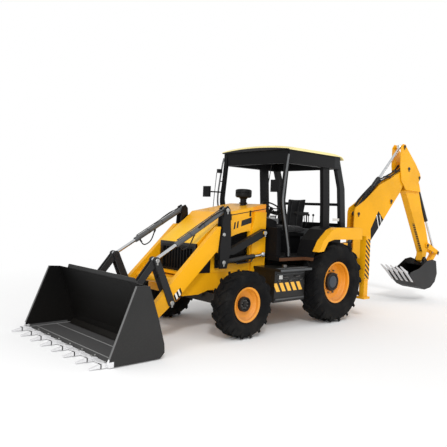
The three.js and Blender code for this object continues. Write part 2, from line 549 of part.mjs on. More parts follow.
// ================================================================ loader arms
const arc = (shape, at, radius, from, to) => shape.absarc(at.x, at.z, radius, from, to, false);
const armOutline = new THREE.Shape();
armOutline.moveTo(2120, 1250);
armOutline.lineTo(2125, 1600);
armOutline.lineTo(2370, 1590);
armOutline.lineTo(3240, 760);
armOutline.lineTo(BUCKET_PIN.x + 55, BUCKET_PIN.z + 55);
armOutline.absarc(BUCKET_PIN.x, BUCKET_PIN.z, 75, Math.PI / 4, -Math.PI * 3 / 4, true);
armOutline.lineTo(3110, 560);
armOutline.lineTo(2370, 1240);
armOutline.lineTo(LIFT_PIN.x + 60, LIFT_PIN.z - 60);
armOutline.lineTo(LIFT_PIN.x - 60, LIFT_PIN.z - 70);
armOutline.lineTo(LIFT_PIN.x - 110, LIFT_PIN.z + 60);
armOutline.lineTo(ARM_PIVOT.x, ARM_PIVOT.z - 62);
armOutline.absarc(ARM_PIVOT.x, ARM_PIVOT.z, 62, -Math.PI / 2, Math.PI / 2, true);
const towerLever = [
  [LIFT_PIN.x - 70, LIFT_PIN.z - 90], [LIFT_PIN.x + 70, LIFT_PIN.z - 90], [2340, 1300], [2300, 1560],
  [TILT_TOP.x + 55, TILT_TOP.z + 30], [TILT_TOP.x - 10, TILT_TOP.z + 62], [TILT_TOP.x - 60, TILT_TOP.z + 10],
  [2130, 1500], [2120, 1250],
];
const CHEEK_IN = ARM_HALF + 5;   // inner face of the lever plates from the arm's middle plane
const CHEEK_OUT = CHEEK_IN + CHEEK_WALL;
/** Two plates of one outline, one each side of the arm's middle plane. */
const cheeks = (outline, near = CHEEK_IN, far = CHEEK_OUT) => [
  plate(outline, ARM_MID - far, ARM_MID - near), plate(outline, ARM_MID + near, ARM_MID + far),
];
const RAM = { barrel: 38, rod: 24, eye: 42, eyeHalf: 20 };
const FORK = RAM.barrel + SIDE_GAP;   // half the room between two cheeks for a ram's barrel
const arms = [];
for (const [, side] of sides) {
  const slot = join(
    box(LIFT_PIN.x - 240, LIFT_PIN.x + 80, ARM_MID - FORK, ARM_MID + FORK, LIFT_PIN.z - 150, LIFT_PIN.z + 110),
    box(TILT_TOP.x - 130, TILT_TOP.x + 200, ARM_MID - FORK, ARM_MID + FORK, 1610, TILT_TOP.z + 100),
    bore(ARM_PIVOT, ARM_MID - 70, ARM_MID + 70, PIN_RADIUS),
  );
  const arm = [
    cut(join(plate(armOutline, ARM_MID - ARM_HALF, ARM_MID + ARM_HALF), ...cheeks(towerLever, ARM_HALF - 1)), slot),
    pin(BUCKET_PIN, ARM_MID - CHEEK_OUT - 5, ARM_MID + CHEEK_OUT + 5, PIN_RADIUS),
    pin(LEVER_PIN, ARM_MID - CHEEK_OUT - 5, ARM_MID + CHEEK_OUT + 5, PIN_RADIUS),
    pin(LIFT_PIN, ARM_MID - CHEEK_OUT - 5, ARM_MID + CHEEK_OUT + 5, PIN_RADIUS),
    pin(TILT_TOP, ARM_MID - CHEEK_OUT - 5, ARM_MID + CHEEK_OUT + 5, PIN_RADIUS),
  ];
  arms.push(...arm.map((piece) => mirrored(piece, side)));
}
arms.push(bar(V(3045, -ARM_MID, 800), V(3045, ARM_MID, 800), 60, 16));
add('loader_arms', join(...arms), 'yellow');

/** A hydraulic ram from its foot pin to its rod's eye pin, in the plane y: the barrel and the rod. */
function ram(foot, eye, y, { barrel, rod, eyeRadius, eyeHalf, gland, inner, goesIn }) {
  const a = V(foot.x, y, foot.z);
  const b = V(eye.x, y, eye.z);
  const along = b.clone().sub(a).normalize();
  const at = (d) => a.clone().addScaledVector(along, d);
  const tube = join(
    bar(at(eyeRadius + 8), at(gland), barrel, 16),
    bar(a, at(eyeRadius + 12), eyeHalf - 1, 12),
    pin(foot, y - eyeHalf, y + eyeHalf, eyeRadius, 16),
  );
  const hole = bar(at(inner - goesIn - 8), at(gland + 1), rod + PIN_GAP, 16);
  return {
    barrel: cut(tube, hole, bore(foot, y - barrel - 1, y + barrel + 1, PIN_RADIUS)),
    rod: join(bar(at(inner), b, rod, 16), pin(eye, y - eyeHalf, y + eyeHalf, eyeRadius, 16)),
  };
}
for (const [name, side] of sides) {
  const lift = ram(LIFT_PIN, LIFT_EYE, ARM_MID, {
    barrel: RAM.barrel, rod: RAM.rod, eyeRadius: RAM.eye, eyeHalf: RAM.eyeHalf, gland: 700, inner: 255, goesIn: 15,
  });
  add(`lift_ram_barrel_${name}`, mirrored(lift.barrel, side), 'black');
  add(`lift_ram_rod_${name}`, mirrored(lift.rod, side), 'chrome');
  const tiltRam = ram(TILT_TOP, APEX, ARM_MID, {
    barrel: RAM.barrel, rod: RAM.rod, eyeRadius: RAM.eye, eyeHalf: RAM.eyeHalf, gland: 1026, inner: 314, goesIn: 248,
  });
  add(`tilt_ram_barrel_${name}`, mirrored(tiltRam.barrel, side), 'grey');
  add(`tilt_ram_rod_${name}`, mirrored(tiltRam.rod, side), 'chrome');
}

/** A straight bar of plate with round ends, from one pin to another. */
function strap(from, to, y0, y1, r0, r1 = r0) {
  const a = Math.atan2(to.z - from.z, to.x - from.x);
  const shape = new THREE.Shape();
  shape.absarc(from.x, from.z, r0, a + Math.PI / 2, a + Math.PI * 1.5, false);
  shape.absarc(to.x, to.z, r1, a - Math.PI / 2, a + Math.PI / 2, false);
  shape.closePath();
  return plate(shape, y0, y1);
}
const LINK_IN = RAM.eyeHalf + SIDE_GAP;       // a link's inner face from the arm's middle plane
const LINK_OUT = ARM_HALF - 1;
const between = (from, to, t) => ({ x: from.x + (to.x - from.x) * t, z: from.z + (to.z - from.z) * t });
for (const [name, side] of sides) {
  const lever = [];
  const link = [];
  for (const flank of [1, -1]) {
    const face = (d0, d1) => (flank > 0 ? [ARM_MID + d0, ARM_MID + d1] : [ARM_MID - d1, ARM_MID - d0]);
    lever.push(cut(strap(LEVER_PIN, APEX, ...face(CHEEK_IN, CHEEK_OUT), 55, 48),
      bore(LEVER_PIN, ...face(CHEEK_IN - 1, CHEEK_OUT + 1), PIN_RADIUS)));
    lever.push(pin(APEX, ...face(LINK_IN, CHEEK_OUT + 8), PIN_RADIUS));
    link.push(cut(strap(APEX, LINK_PIN, ...face(LINK_IN, LINK_OUT), 48, 45),
      bore(APEX, ...face(LINK_IN - 1, LINK_OUT + 1), PIN_RADIUS)));
  }
  // a cross tie through each pair, clear of the arm and of the ram's rod
  const tie = between(LEVER_PIN, APEX, 0.62);
  lever.push(pin(tie, ARM_MID - CHEEK_OUT, ARM_MID + CHEEK_OUT, 22));
  link.push(pin(between(APEX, LINK_PIN, 0.8), ARM_MID - LINK_OUT, ARM_MID + LINK_OUT, 26));
  add(`tilt_lever_${name}`, mirrored(join(...lever), side), 'black');
  add(`tilt_link_${name}`, mirrored(join(...link), side), 'black');
}

// ================================================================ loader bucket
const shovel = {
  lip: [4500, SHOVEL_LIFT], heel: [3800, SHOVEL_LIFT], toe: [3735, 80], calf: [3745, 190], knee: [3850, 530],
  top: [3985, 905], brow: [4170, 915],
};
const shovelSide = [shovel.lip, [4520, 60], shovel.brow, shovel.top, shovel.knee, shovel.calf, shovel.toe,
  shovel.heel].reverse();
const inset = SHOVEL_WALL;
const shovelRoom = [
  [4530, SHOVEL_LIFT + inset], [shovel.heel[0] + 15, SHOVEL_LIFT + inset], [shovel.toe[0] + inset, 95],
  [shovel.calf[0] + inset, 185], [shovel.knee[0] + inset, 522], [shovel.top[0] + inset + 5, 915], [4170, 1100],
  [4600, 1100], [4600, SHOVEL_LIFT + inset],
].reverse();
const GUARD = { half: 860, foot: 945, top: 965 };
const shovelParts = [
  cut(plate(shovelSide, -SHOVEL_HALF, SHOVEL_HALF),
    plate(shovelRoom, -SHOVEL_HALF + 28, SHOVEL_HALF - 28)),
  hull([[3966, 870, GUARD.foot], [3990, 870, GUARD.foot], [4010, GUARD.top, GUARD.half],
    [3988, GUARD.top, GUARD.half]].flatMap(([x, z, y]) => [V(x, y, z), V(x, -y, z)])),
];
const earOutline = [
  [BUCKET_PIN.x - 55, BUCKET_PIN.z - 30], [BUCKET_PIN.x, BUCKET_PIN.z - 62], [3750, 180], [3750, 400],
  [BUCKET_PIN.x + 10, BUCKET_PIN.z + 62], [BUCKET_PIN.x - 50, BUCKET_PIN.z + 35],
];
const hornOutline = [
  [LINK_PIN.x - 50, LINK_PIN.z - 20], [LINK_PIN.x - 20, LINK_PIN.z - 52], [3880, 560], [3990, 880],
  [LINK_PIN.x + 20, LINK_PIN.z + 52], [LINK_PIN.x - 35, LINK_PIN.z + 38],
];
for (const [, side] of sides) {
  for (const outline of [earOutline, hornOutline]) {
    shovelParts.push(...cheeks(outline).map((piece) => mirrored(piece, side)));
  }
}
let shovelBody = join(...shovelParts);
for (const [, side] of sides) {
  shovelBody = cut(shovelBody, mirrored(bore(BUCKET_PIN, ARM_MID - CHEEK_OUT - 6, ARM_MID + CHEEK_OUT + 6,
    PIN_RADIUS), side));
}
// the cutting edge's teeth: each an adapter over the lip with a wedge point ahead of it
const TOOTH = { x0: 4420, nose: 4590, x1: 4713, half: 34, tip: 16, low: 3, thick: 58 };
const teeth = [];
for (let i = 0; i < SHOVEL_TEETH; i += 1) {
  const y = -SHOVEL_HALF + 76 + (i * (2 * SHOVEL_HALF - 152)) / (SHOVEL_TEETH - 1);
  const z = SHOVEL_LIFT - TOOTH.low;
  teeth.push(hull([[TOOTH.x0, 0.8, 0.5], [TOOTH.nose - 60, 1, 1], [TOOTH.nose, 1, 0.8]].flatMap(
    ([x, wide, high]) => [-1, 1].flatMap((flank) => [V(x, y + flank * TOOTH.half * wide, z),
      V(x, y + flank * TOOTH.half * wide, z + TOOTH.thick * high)]))));
  teeth.push(hull([[TOOTH.nose - 20, TOOTH.half * 0.75, 4, TOOTH.thick * 0.75], [TOOTH.x1, TOOTH.tip, 2, 12]].flatMap(
    ([x, half, low, high]) => [-1, 1].flatMap((flank) => [V(x, y + flank * half, z + low),
      V(x, y + flank * half, z + high)]))));
}
add('loader_bucket', join(shovelBody, ...teeth), 'darkSteel');

// ================================================================ backhoe
// Everything from the swing post on is drawn straight back and turned about the swing axis.
const hoe = new THREE.Group();
hoe.position.x = SLEW_X;
hoe.rotation.z = THREE.MathUtils.degToRad(-SWING_REST);
group.add(hoe);
/** A backhoe point as an X, Z place in the hoe's own group. */
const H = ({ s, z }) => ({ x: -s, z });
const hoePlate = (outline, y0, y1) => plate(outline.map(([s, z]) => [-s, z]).reverse(), y0, y1);

// swing post: two collars on the lugs' pins, a body behind them and the ears for boom and boom ram
const BOOM_RAM = 50;         // radius of the boom ram's barrel
const DIPPER_RAM = 47;
const POST = { half: BOOM_RAM + SIDE_GAP, wall: 20 };
const postParts = [
  bar(V(0, 0, LUG_Z[0] + LUG_WALL / 2 + PIN_GAP), V(0, 0, LUG_Z[1] - LUG_WALL / 2 - PIN_GAP), 90, 24),
  box(-170, 0, -POST.half - 5, POST.half + 5, LUG_Z[0] + 60, LUG_Z[1] - 90),
];
for (const flank of [1, -1]) {
  const y = flank > 0 ? [POST.half, POST.half + POST.wall] : [-POST.half - POST.wall, -POST.half];
  postParts.push(hoePlate([
    [40, 560], [BOOM_FOOT.s, BOOM_FOOT.z - 75], [BOOM_FOOT.s + 75, BOOM_FOOT.z], [BOOM_FOOT.s + 20, BOOM_FOOT.z + 75],
    [BOOM_RAM_FOOT.s + 70, BOOM_RAM_FOOT.z - 40], [BOOM_RAM_FOOT.s + 40, BOOM_RAM_FOOT.z + 60],
    [BOOM_RAM_FOOT.s - 60, BOOM_RAM_FOOT.z + 50], [140, 1080], [60, 1050],
  ], ...y));
}
let post = join(...postParts);
post = cut(post,
  bore(H(BOOM_FOOT), -200, 200, PIN_RADIUS),
  pin(H(BOOM_RAM_FOOT), -POST.half, POST.half, 110));
post = join(post, pin(H(BOOM_RAM_FOOT), -POST.half - POST.wall, POST.half + POST.wall, PIN_RADIUS));
add('swing_post', post, 'black', hoe);

// boom: two deep side plates with webs along their back and top, open where the rams work
/** An outline's point, so far behind and above a pin of the backhoe. */
const off = (at, ds, dz) => [at.s + ds, at.z + dz];
const boomOutline = [
  off(BOOM_FOOT, -80, -30), off(BOOM_FOOT, 40, -80), off(BOOM_FOOT, 130, 0), [780, 1290], [1030, 1590],
  off(BOOM_RAM_PIN, 0, -135), [1660, 2380],
  off(DIPPER_PIVOT, -50, -170), off(DIPPER_PIVOT, 55, -70), off(DIPPER_PIVOT, 85, 15), off(DIPPER_PIVOT, 35, 80),
  off(DIPPER_PIVOT, -70, 60), [1620, 2800], [1310, 2635], [1000, 2490],
  off(DIPPER_RAM_FOOT, 170, 280), off(DIPPER_RAM_FOOT, -90, 115), off(DIPPER_RAM_FOOT, -116, 30),
  off(BOOM_FOOT, 4, 430), off(BOOM_FOOT, -60, 180),
];
const FLANK_IN = BOOM_HALF - BOOM_PLATE;
const boomParts = [
  hoePlate(boomOutline, FLANK_IN, BOOM_HALF),
  hoePlate(boomOutline, -BOOM_HALF, -FLANK_IN),
  // the web along the lower edge, from above the boom ram's pin to the tip
  hoePlate([[1560, 2280], [1580, 2262], [1670, 2378], off(DIPPER_PIVOT, -45, -185), off(DIPPER_PIVOT, -70, -165),
    [1640, 2395]], -FLANK_IN - 1, FLANK_IN + 1),
  // the web along the upper edge, past the dipper ram's barrel
  hoePlate([[1460, 2710], [1475, 2685], off(DIPPER_PIVOT, -140, -70), off(DIPPER_PIVOT, -30, -10),
    off(DIPPER_PIVOT, -60, 55), [1615, 2792]], -FLANK_IN - 1, FLANK_IN + 1),
  ...[1, -1].map((flank) => pin(H(BOOM_RAM_PIN), ...(flank > 0 ? [POST.half, BOOM_HALF + 8]
    : [-BOOM_HALF - 8, -POST.half]), 45)),
  pin(H(BOOM_FOOT), -BOOM_HALF - 6, BOOM_HALF + 6, PIN_RADIUS),
  pin(H(DIPPER_RAM_FOOT), -BOOM_HALF - 6, BOOM_HALF + 6, PIN_RADIUS),
  pin(H(DIPPER_PIVOT), -FLANK_IN - 1, FLANK_IN + 1, 60, 20),
];
add('boom', cut(join(...boomParts), bore(H(DIPPER_PIVOT), -200, 200, 40, 16)), 'yellow', hoe);

const boomRam = ram(H(BOOM_RAM_FOOT), H(BOOM_RAM_PIN), 0, {
  barrel: BOOM_RAM, rod: 32, eyeRadius: 55, eyeHalf: BOOM_RAM, gland: 1220, inner: 245, goesIn: 160,
});
add('boom_ram_barrel', boomRam.barrel, 'black', hoe);
add('boom_ram_rod', boomRam.rod, 'chrome', hoe);

const dipperRam = ram(H(DIPPER_RAM_FOOT), H(DIPPER_RAM_PIN), 0, {
  barrel: DIPPER_RAM, rod: 28, eyeRadius: 50, eyeHalf: DIPPER_RAM, gland: 1020, inner: 720, goesIn: 630,
});
add('dipper_ram_barrel', dipperRam.barrel, 'black', hoe);
add('dipper_ram_rod', dipperRam.rod, 'chrome', hoe);

// dipper: a box beam with a forked head round the boom's tip
const DIPPER_HALF = BOOM_HALF + DIPPER_WALL + 6;
const dipperOutline = [
  off(DIPPER_RAM_PIN, -100, -25), off(DIPPER_PIVOT, -282, 50), off(DIPPER_PIVOT, -230, -270),
  off(DIPPER_PIVOT, 13, -550), [2265, 1590], off(HOE_PIVOT, -40, 155),
  off(HOE_PIVOT, -62, -20), off(HOE_PIVOT, 0, -62), off(HOE_PIVOT, 62, 0),
  off(HOE_LEVER_PIN, 52, 5), off(HOE_LEVER_PIN, 5, 154), [2598, 1614], [2425, 2030],
  off(HOE_RAM_FOOT, 15, -172), off(HOE_RAM_FOOT, -18, -102), off(HOE_RAM_FOOT, 48, -2), off(HOE_RAM_FOOT, 10, 97),
  off(DIPPER_PIVOT, 217, 123), off(DIPPER_RAM_PIN, 241, -182), off(DIPPER_RAM_PIN, 70, -5),
  off(DIPPER_RAM_PIN, 35, 47), off(DIPPER_RAM_PIN, -45, 55),
];
const BEAM_HALF = 80;
const HOE_RAM = { barrel: 42, rod: 25, eye: 42, eyeHalf: 25 };
const HOE_RAM_ROOM = HOE_RAM.barrel + SIDE_GAP;
let dipper = cut(hoePlate(dipperOutline, -DIPPER_HALF, DIPPER_HALF),
  // the fork's inside, round the boom's tip and the dipper ram's eye
  hoePlate([off(DIPPER_RAM_PIN, -380, 345), [1320, 2200], [1710, 2200], off(DIPPER_PIVOT, 105, -190),
    off(DIPPER_PIVOT, 165, 40), off(DIPPER_RAM_PIN, 280, 145)], -BOOM_HALF - 6, BOOM_HALF + 6),
  // the flanks below the head come in to the beam's width
  ...[1, -1].map((flank) => hoePlate([[1500, 2440], [2500, 2400], [3100, 2000], [3100, 700], [2000, 700]],
    flank > 0 ? BEAM_HALF : -DIPPER_HALF - 1, flank > 0 ? DIPPER_HALF + 1 : -BEAM_HALF)),
  // the slot for the bucket ram's foot
  hoePlate([off(HOE_RAM_FOOT, -155, 138), off(HOE_RAM_FOOT, -70, -222), off(HOE_RAM_FOOT, 110, -322),
    off(HOE_RAM_FOOT, 160, 138)], -HOE_RAM_ROOM, HOE_RAM_ROOM));
dipper = join(dipper, pin(H(DIPPER_PIVOT), -DIPPER_HALF, DIPPER_HALF, 40, 16),
  ...[1, -1].map((flank) => pin(H(DIPPER_RAM_PIN), ...(flank > 0 ? [DIPPER_RAM + SIDE_GAP, DIPPER_HALF + 8]
    : [-DIPPER_HALF - 8, -DIPPER_RAM - SIDE_GAP]), 38)),
  pin(H(HOE_RAM_FOOT), -DIPPER_HALF + 10, DIPPER_HALF - 10, PIN_RADIUS),
  pin(H(HOE_LEVER_PIN), -BEAM_HALF - 30, BEAM_HALF + 30, PIN_RADIUS),
  pin(H(HOE_PIVOT), -BEAM_HALF - 30, BEAM_HALF + 30, PIN_RADIUS));
add('dipper', dipper, 'yellow', hoe);

const bucketRam = ram(H(HOE_RAM_FOOT), H(HOE_APEX), 0, {
  barrel: HOE_RAM.barrel, rod: HOE_RAM.rod, eyeRadius: HOE_RAM.eye, eyeHalf: HOE_RAM.eyeHalf, gland: 1060,
  inner: 560, goesIn: 452,
});
add('bucket_ram_barrel', bucketRam.barrel, 'black', hoe);
add('bucket_ram_rod', bucketRam.rod, 'chrome', hoe);

// guide lever on the dipper and the link down to the bucket
const GUIDE_IN = BEAM_HALF + 4;
const GUIDE_OUT = GUIDE_IN + 20;
const HLINK_IN = HOE_RAM.eyeHalf + SIDE_GAP;
const HLINK_OUT = HLINK_IN + 24;
const guide = [];
const hoeLink = [];
for (const flank of [1, -1]) {
  const face = (d0, d1) => (flank > 0 ? [d0, d1] : [-d1, -d0]);
  guide.push(cut(strap(H(HOE_LEVER_PIN), H(HOE_APEX), ...face(GUIDE_IN, GUIDE_OUT), 58, 46),
    bore(H(HOE_LEVER_PIN), ...face(GUIDE_IN - 1, GUIDE_OUT + 1), PIN_RADIUS)));
  guide.push(pin(H(HOE_APEX), ...face(HLINK_IN, GUIDE_OUT + 10), PIN_RADIUS));
  hoeLink.push(cut(strap(H(HOE_APEX), H(HOE_LINK_PIN), ...face(HLINK_IN, HLINK_OUT), 48, 44),
    bore(H(HOE_APEX), ...face(HLINK_IN - 1, HLINK_OUT + 1), PIN_RADIUS)));
}
const brace = between(H(HOE_LEVER_PIN), H(HOE_APEX), 0.38);
guide.push(pin(brace, -GUIDE_OUT, GUIDE_OUT, 20));
hoeLink.push(pin(between(H(HOE_APEX), H(HOE_LINK_PIN), 0.72), -HLINK_OUT, HLINK_OUT, 24));
add('hoe_guide_lever', join(...guide), 'yellow', hoe);
add('hoe_bucket_link', join(...hoeLink), 'yellow', hoe);

// hoe bucket: a rolled shell between two side plates, with ears for the dipper and the link
const hoeSide = [
  [1862, 578], [1880, 640], [2174, 725], [2420, 885], [2600, 915], [2728, 880], [2777, 600], [2715, 420],
  [2570, 295], [2370, 255], [2170, 322], [2005, 440],
];
const hoeRoom = [
  [1868, 600], [1780, 700], [1900, 1000], [2400, 1000], [2425, 774], [2552, 754], [2675, 630], [2717, 520],
  [2700, 432], [2562, 314], [2370, 274], [2178, 341], [2018, 458],
];
// between the side plates the shell ends below the hinge, so that the dipper's foot can turn
const hingeRoom = [[2399, 1000], [2412, 792], [2560, 772], [2692, 640], [2737, 522], [2860, 480], [2860, 1000]];
const EAR_IN = BEAM_HALF + 6;
const EAR_OUT = EAR_IN + 22;
const hoeParts = [
  cut(hoePlate(hoeSide, -HOE_HALF, HOE_HALF), ...[hoeRoom, hingeRoom].map((room) =>
    hoePlate(room, -HOE_HALF + HOE_WALL, HOE_HALF - HOE_WALL))),
];
for (const flank of [1, -1]) {
  hoeParts.push(hoePlate([
    [HOE_PIVOT.s - 62, HOE_PIVOT.z - 10], [HOE_PIVOT.s - 25, HOE_PIVOT.z + 58], [HOE_PIVOT.s + 30, HOE_PIVOT.z + 58],
    [HOE_LINK_PIN.s + 32, HOE_LINK_PIN.z + 42], [HOE_LINK_PIN.s + 50, HOE_LINK_PIN.z - 10],
    [HOE_LINK_PIN.s + 15, HOE_LINK_PIN.z - 50], [2715, 560], [2640, 690], [2480, 776],
  ], flank > 0 ? EAR_IN : -EAR_OUT, flank > 0 ? EAR_OUT : -EAR_IN));
}
const HOE_TOOTH = { half: 25, tip: 12 };
// section of a tooth along its length: place of its upper and lower edge and its half width
const hoeTooth = [
  [[2010, 462], [1980, 430], HOE_TOOTH.half], [[1800, 660], [1765, 625], HOE_TOOTH.half],
  [[1588, 785], [1574, 770], HOE_TOOTH.tip],
];
for (let i = 0; i < HOE_TEETH; i += 1) {
  const y = -HOE_HALF + 34 + (i * (2 * HOE_HALF - 68)) / (HOE_TEETH - 1);
  for (const part of [hoeTooth.slice(0, 2), hoeTooth.slice(1)]) {
    hoeParts.push(hull(part.flatMap(([upper, lower, half]) => [upper, lower].flatMap(([s, z]) =>
      [V(-s, y - half, z), V(-s, y + half, z)]))));
  }
}
add('hoe_bucket', cut(join(...hoeParts), bore(H(HOE_PIVOT), -200, 200, PIN_RADIUS)), 'darkSteel', hoe);

// ================================================================ place the machine on its origin
const whole = new THREE.Box3().setFromObject(group, true);
group.position.set(-(whole.min.x + whole.max.x) / 2, 0, -whole.min.z);

export default group;
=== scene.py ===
"""Backhoe loader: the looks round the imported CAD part. Metres, +X forward, +Y left, +Z up."""
import json
import math
from types import SimpleNamespace

import bmesh
import bpy
import numpy as np
from mathutils import Matrix, Vector

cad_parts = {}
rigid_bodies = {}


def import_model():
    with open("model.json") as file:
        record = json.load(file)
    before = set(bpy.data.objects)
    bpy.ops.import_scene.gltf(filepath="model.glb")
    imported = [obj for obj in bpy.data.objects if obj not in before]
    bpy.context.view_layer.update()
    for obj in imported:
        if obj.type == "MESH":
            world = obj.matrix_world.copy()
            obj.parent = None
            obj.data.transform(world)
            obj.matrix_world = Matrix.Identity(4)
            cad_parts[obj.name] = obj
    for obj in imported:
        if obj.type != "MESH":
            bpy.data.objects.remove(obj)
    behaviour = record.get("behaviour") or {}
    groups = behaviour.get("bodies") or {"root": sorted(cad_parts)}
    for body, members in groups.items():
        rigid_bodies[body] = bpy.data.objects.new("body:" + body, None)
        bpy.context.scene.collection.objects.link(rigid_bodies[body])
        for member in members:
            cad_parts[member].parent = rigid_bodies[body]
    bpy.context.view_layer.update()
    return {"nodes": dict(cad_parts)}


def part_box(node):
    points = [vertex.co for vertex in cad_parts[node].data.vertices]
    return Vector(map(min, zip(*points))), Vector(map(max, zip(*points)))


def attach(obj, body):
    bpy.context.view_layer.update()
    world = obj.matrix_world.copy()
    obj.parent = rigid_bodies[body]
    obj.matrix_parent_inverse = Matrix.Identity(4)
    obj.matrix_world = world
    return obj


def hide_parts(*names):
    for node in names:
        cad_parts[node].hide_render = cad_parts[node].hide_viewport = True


for left_over in list(bpy.data.objects):
    bpy.data.objects.remove(left_over)
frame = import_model()

# ---------------------------------------------------------------- machine's own origin
# Places are measured as on the machine's drawing: from the ground under the middle of the rear
# axle. The axle's housing is round, and its middle lies a rear wheel's radius up.
AXLE_HOUSING, REAR_RADIUS = 0.175, 0.68
axle_low, axle_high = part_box("rear_axle")
ORIGIN = Vector(((axle_low.x + axle_high.x) / 2, 0.0, axle_low.z + AXLE_HOUSING - REAR_RADIUS))

# ---------------------------------------------------------------- camera, light and floor
# The camera stands ahead of the machine and to its left, at a tall person's eye height, and
# leans a little to one side. A bright sky, one soft sun and a pale floor light the machine.
LENS, EYE = 43.32, Vector((7.643, 6.424, 1.847))
YAW, PITCH, ROLL = (math.radians(a) for a in (227.56, -1.49, 2.28))


def add(name, data):
    """A new object of the scene, at the origin."""
    made = bpy.data.objects.new(name, data)
    bpy.context.scene.collection.objects.link(made)
    return made


camera = add("camera", bpy.data.cameras.new("camera"))
camera.data.lens, camera.data.sensor_width = LENS, 36.0
look = Vector((math.cos(YAW) * math.cos(PITCH), math.sin(YAW) * math.cos(PITCH), math.sin(PITCH)))
level = look.cross(Vector((0, 0, 1))).normalized()
right = math.cos(ROLL) * level + math.sin(ROLL) * level.cross(look)
turn = Matrix((right, right.cross(look), -look)).transposed()
camera.matrix_world = Matrix.Translation(ORIGIN + EYE) @ turn.to_4x4()
bpy.context.scene.camera = camera
bpy.context.scene.view_settings.view_transform = "Standard"

for name, kind, energy, spread, size, stand, aim in [
        # name, kind, strength, which of its sizes is set and to what, where it stands, its aim
        ("sun", "SUN", 0.95, "angle", math.radians(9), (5, 6.5, 9), (0, 0, 1)),
        ("front_fill", "AREA", 300, "size", 6.0, (9, 5, 2.5), (0, 0, 1.2)),
        ("rear_fill", "AREA", 180, "size", 6.0, (-10, 4, 5), (-2, 0, 1))]:
    lamp = add(name, bpy.data.lights.new(name, kind))
    lamp.data.energy = energy
    setattr(lamp.data, spread, size)
    lamp.location = stand
    lamp.rotation_euler = (Vector(aim) - Vector(stand)).to_track_quat("-Z", "Y").to_euler()


class Wire:
    """A socket that gives a number, colour or vector. Sums of wires and numbers add Math nodes."""

    def __init__(self, tree, socket):
        self.tree, self.socket = tree, socket

    def node(self, kind, settings, inputs, output=0):
        """Adds a node, sets its settings first and then its sockets, and returns one output."""
        made = self.tree.nodes.new(kind)
        for key, value in settings.items():
            setattr(made, key, value)
        for key, value in inputs.items():
            if isinstance(value, Wire):
                self.tree.links.new(value.socket, made.inputs[key])
            else:
                made.inputs[key].default_value = value
        return Wire(self.tree, made.outputs[output])

    def math(self, operation, other=0.0, third=0.0):
        """One Math node with the wire as its first value."""
        return self.node("ShaderNodeMath", {"operation": operation}, {0: self, 1: other, 2: third})

    def __add__(self, other):
        return self.math("ADD", other)

    def __sub__(self, other):
        return self.math("SUBTRACT", other)

    def __rsub__(self, other):
        return self.math("MULTIPLY_ADD", -1.0, other)

    def __mul__(self, other):
        return self.math("MULTIPLY", other)

    def __truediv__(self, other):
        return self.math("DIVIDE", other)

    def __gt__(self, other):
        return self.math("GREATER_THAN", other)

    def __lt__(self, other):
        return self.math("LESS_THAN", other)

    def __abs__(self):
        return self.math("ABSOLUTE")

    __radd__, __rmul__ = __add__, __mul__

    def either(self, other):
        """The larger of two wires, which joins two masks."""
        return self.math("MAXIMUM", other)

    def within(self, low, high):
        """1 where the wire lies between two values."""
        return (self > low) * (self < high)

    def rise(self, low, high):
        """Climbs smoothly from 0 at one value to 1 at the other."""
        return self.node("ShaderNodeMapRange", {"interpolation_type": "SMOOTHSTEP"},
                         {0: self, 1: low, 2: high, 3: 0.0, 4: 1.0})

    def mix(self, first, second):
        """The first colour where the wire is 0, the second where it is 1."""
        pair = {6 + i: c if isinstance(c, Wire) else (*c, 1.0) for i, c in enumerate((first, second))}
        return self.node("ShaderNodeMix", {"data_type": "RGBA"}, {0: self, **pair}, 2)


class Finish:
    """A material that ends in one Principled shader. Constant values are set on its sockets."""

    def __init__(self, name, **constants):
        self.material = bpy.data.materials.new(name)
        self.material.use_nodes = True
        tree = self.material.node_tree
        tree.nodes.clear()
        self.out = tree.nodes.new("ShaderNodeOutputMaterial")
        self.shader = tree.nodes.new("ShaderNodeBsdfPrincipled")
        tree.links.new(self.shader.outputs[0], self.out.inputs[0])
        for key, value in constants.items():
            self.shader.inputs[key.replace("_", " ")].default_value = value
        self.tree = tree
        self.start = Wire(tree, None)
        self.place = self.start.node("ShaderNodeTexCoord", {}, {}, 3)
        drawn = self.start.node("ShaderNodeMapping", {}, {0: self.place, 1: tuple(-ORIGIN)})
        apart = drawn.node("ShaderNodeSeparateXYZ", {}, {0: drawn})
        self.x, self.y, self.z = (Wire(tree, s) for s in apart.socket.node.outputs)
        self.up = self.start.node("ShaderNodeSeparateXYZ", {}, {
            0: self.start.node("ShaderNodeTexCoord", {}, {}, 1)}, 2)

    def feed(self, **wires):
        """Links wires to the shader's sockets of the same names."""
        for key, wire in wires.items():
            self.tree.links.new(wire.socket, self.shader.inputs[key.replace("_", " ")])

    def noise(self, scale, detail=3.0, rough=0.5):
        """Fractal noise from 0 to 1 on the piece's own coordinates."""
        return self.start.node("ShaderNodeTexNoise", {}, {
            "Vector": self.place, "Scale": scale, "Detail": detail, "Roughness": rough})

    def bump(self, height, distance):
        """Lets a height wire raise the surface by up to a distance."""
        self.feed(Normal=self.start.node("ShaderNodeBump", {}, {
            "Strength": 1.0, "Distance": distance, "Height": height}))


# the floor is matt and pale near the machine and turns into the plain white of the sky far off
FLOOR_REACH = 400.0
floor = add("floor", bpy.data.meshes.new("floor"))
corners = np.array([(-1, -1, 0), (1, -1, 0), (1, 1, 0), (-1, 1, 0)]) * FLOOR_REACH
floor.data.from_pydata(corners.tolist(), [], [(0, 1, 2, 3)])
pale = Finish("pale_floor", Roughness=0.9, Specular_IOR_Level=0.1, Base_Color=(0.9, 0.9, 0.9, 1))
white = pale.start.node("ShaderNodeEmission", {}, {0: (1, 1, 1, 1), 1: 1.0})
apart = pale.start.node("ShaderNodeVectorMath", {"operation": "LENGTH"}, {0: pale.place}, 1)


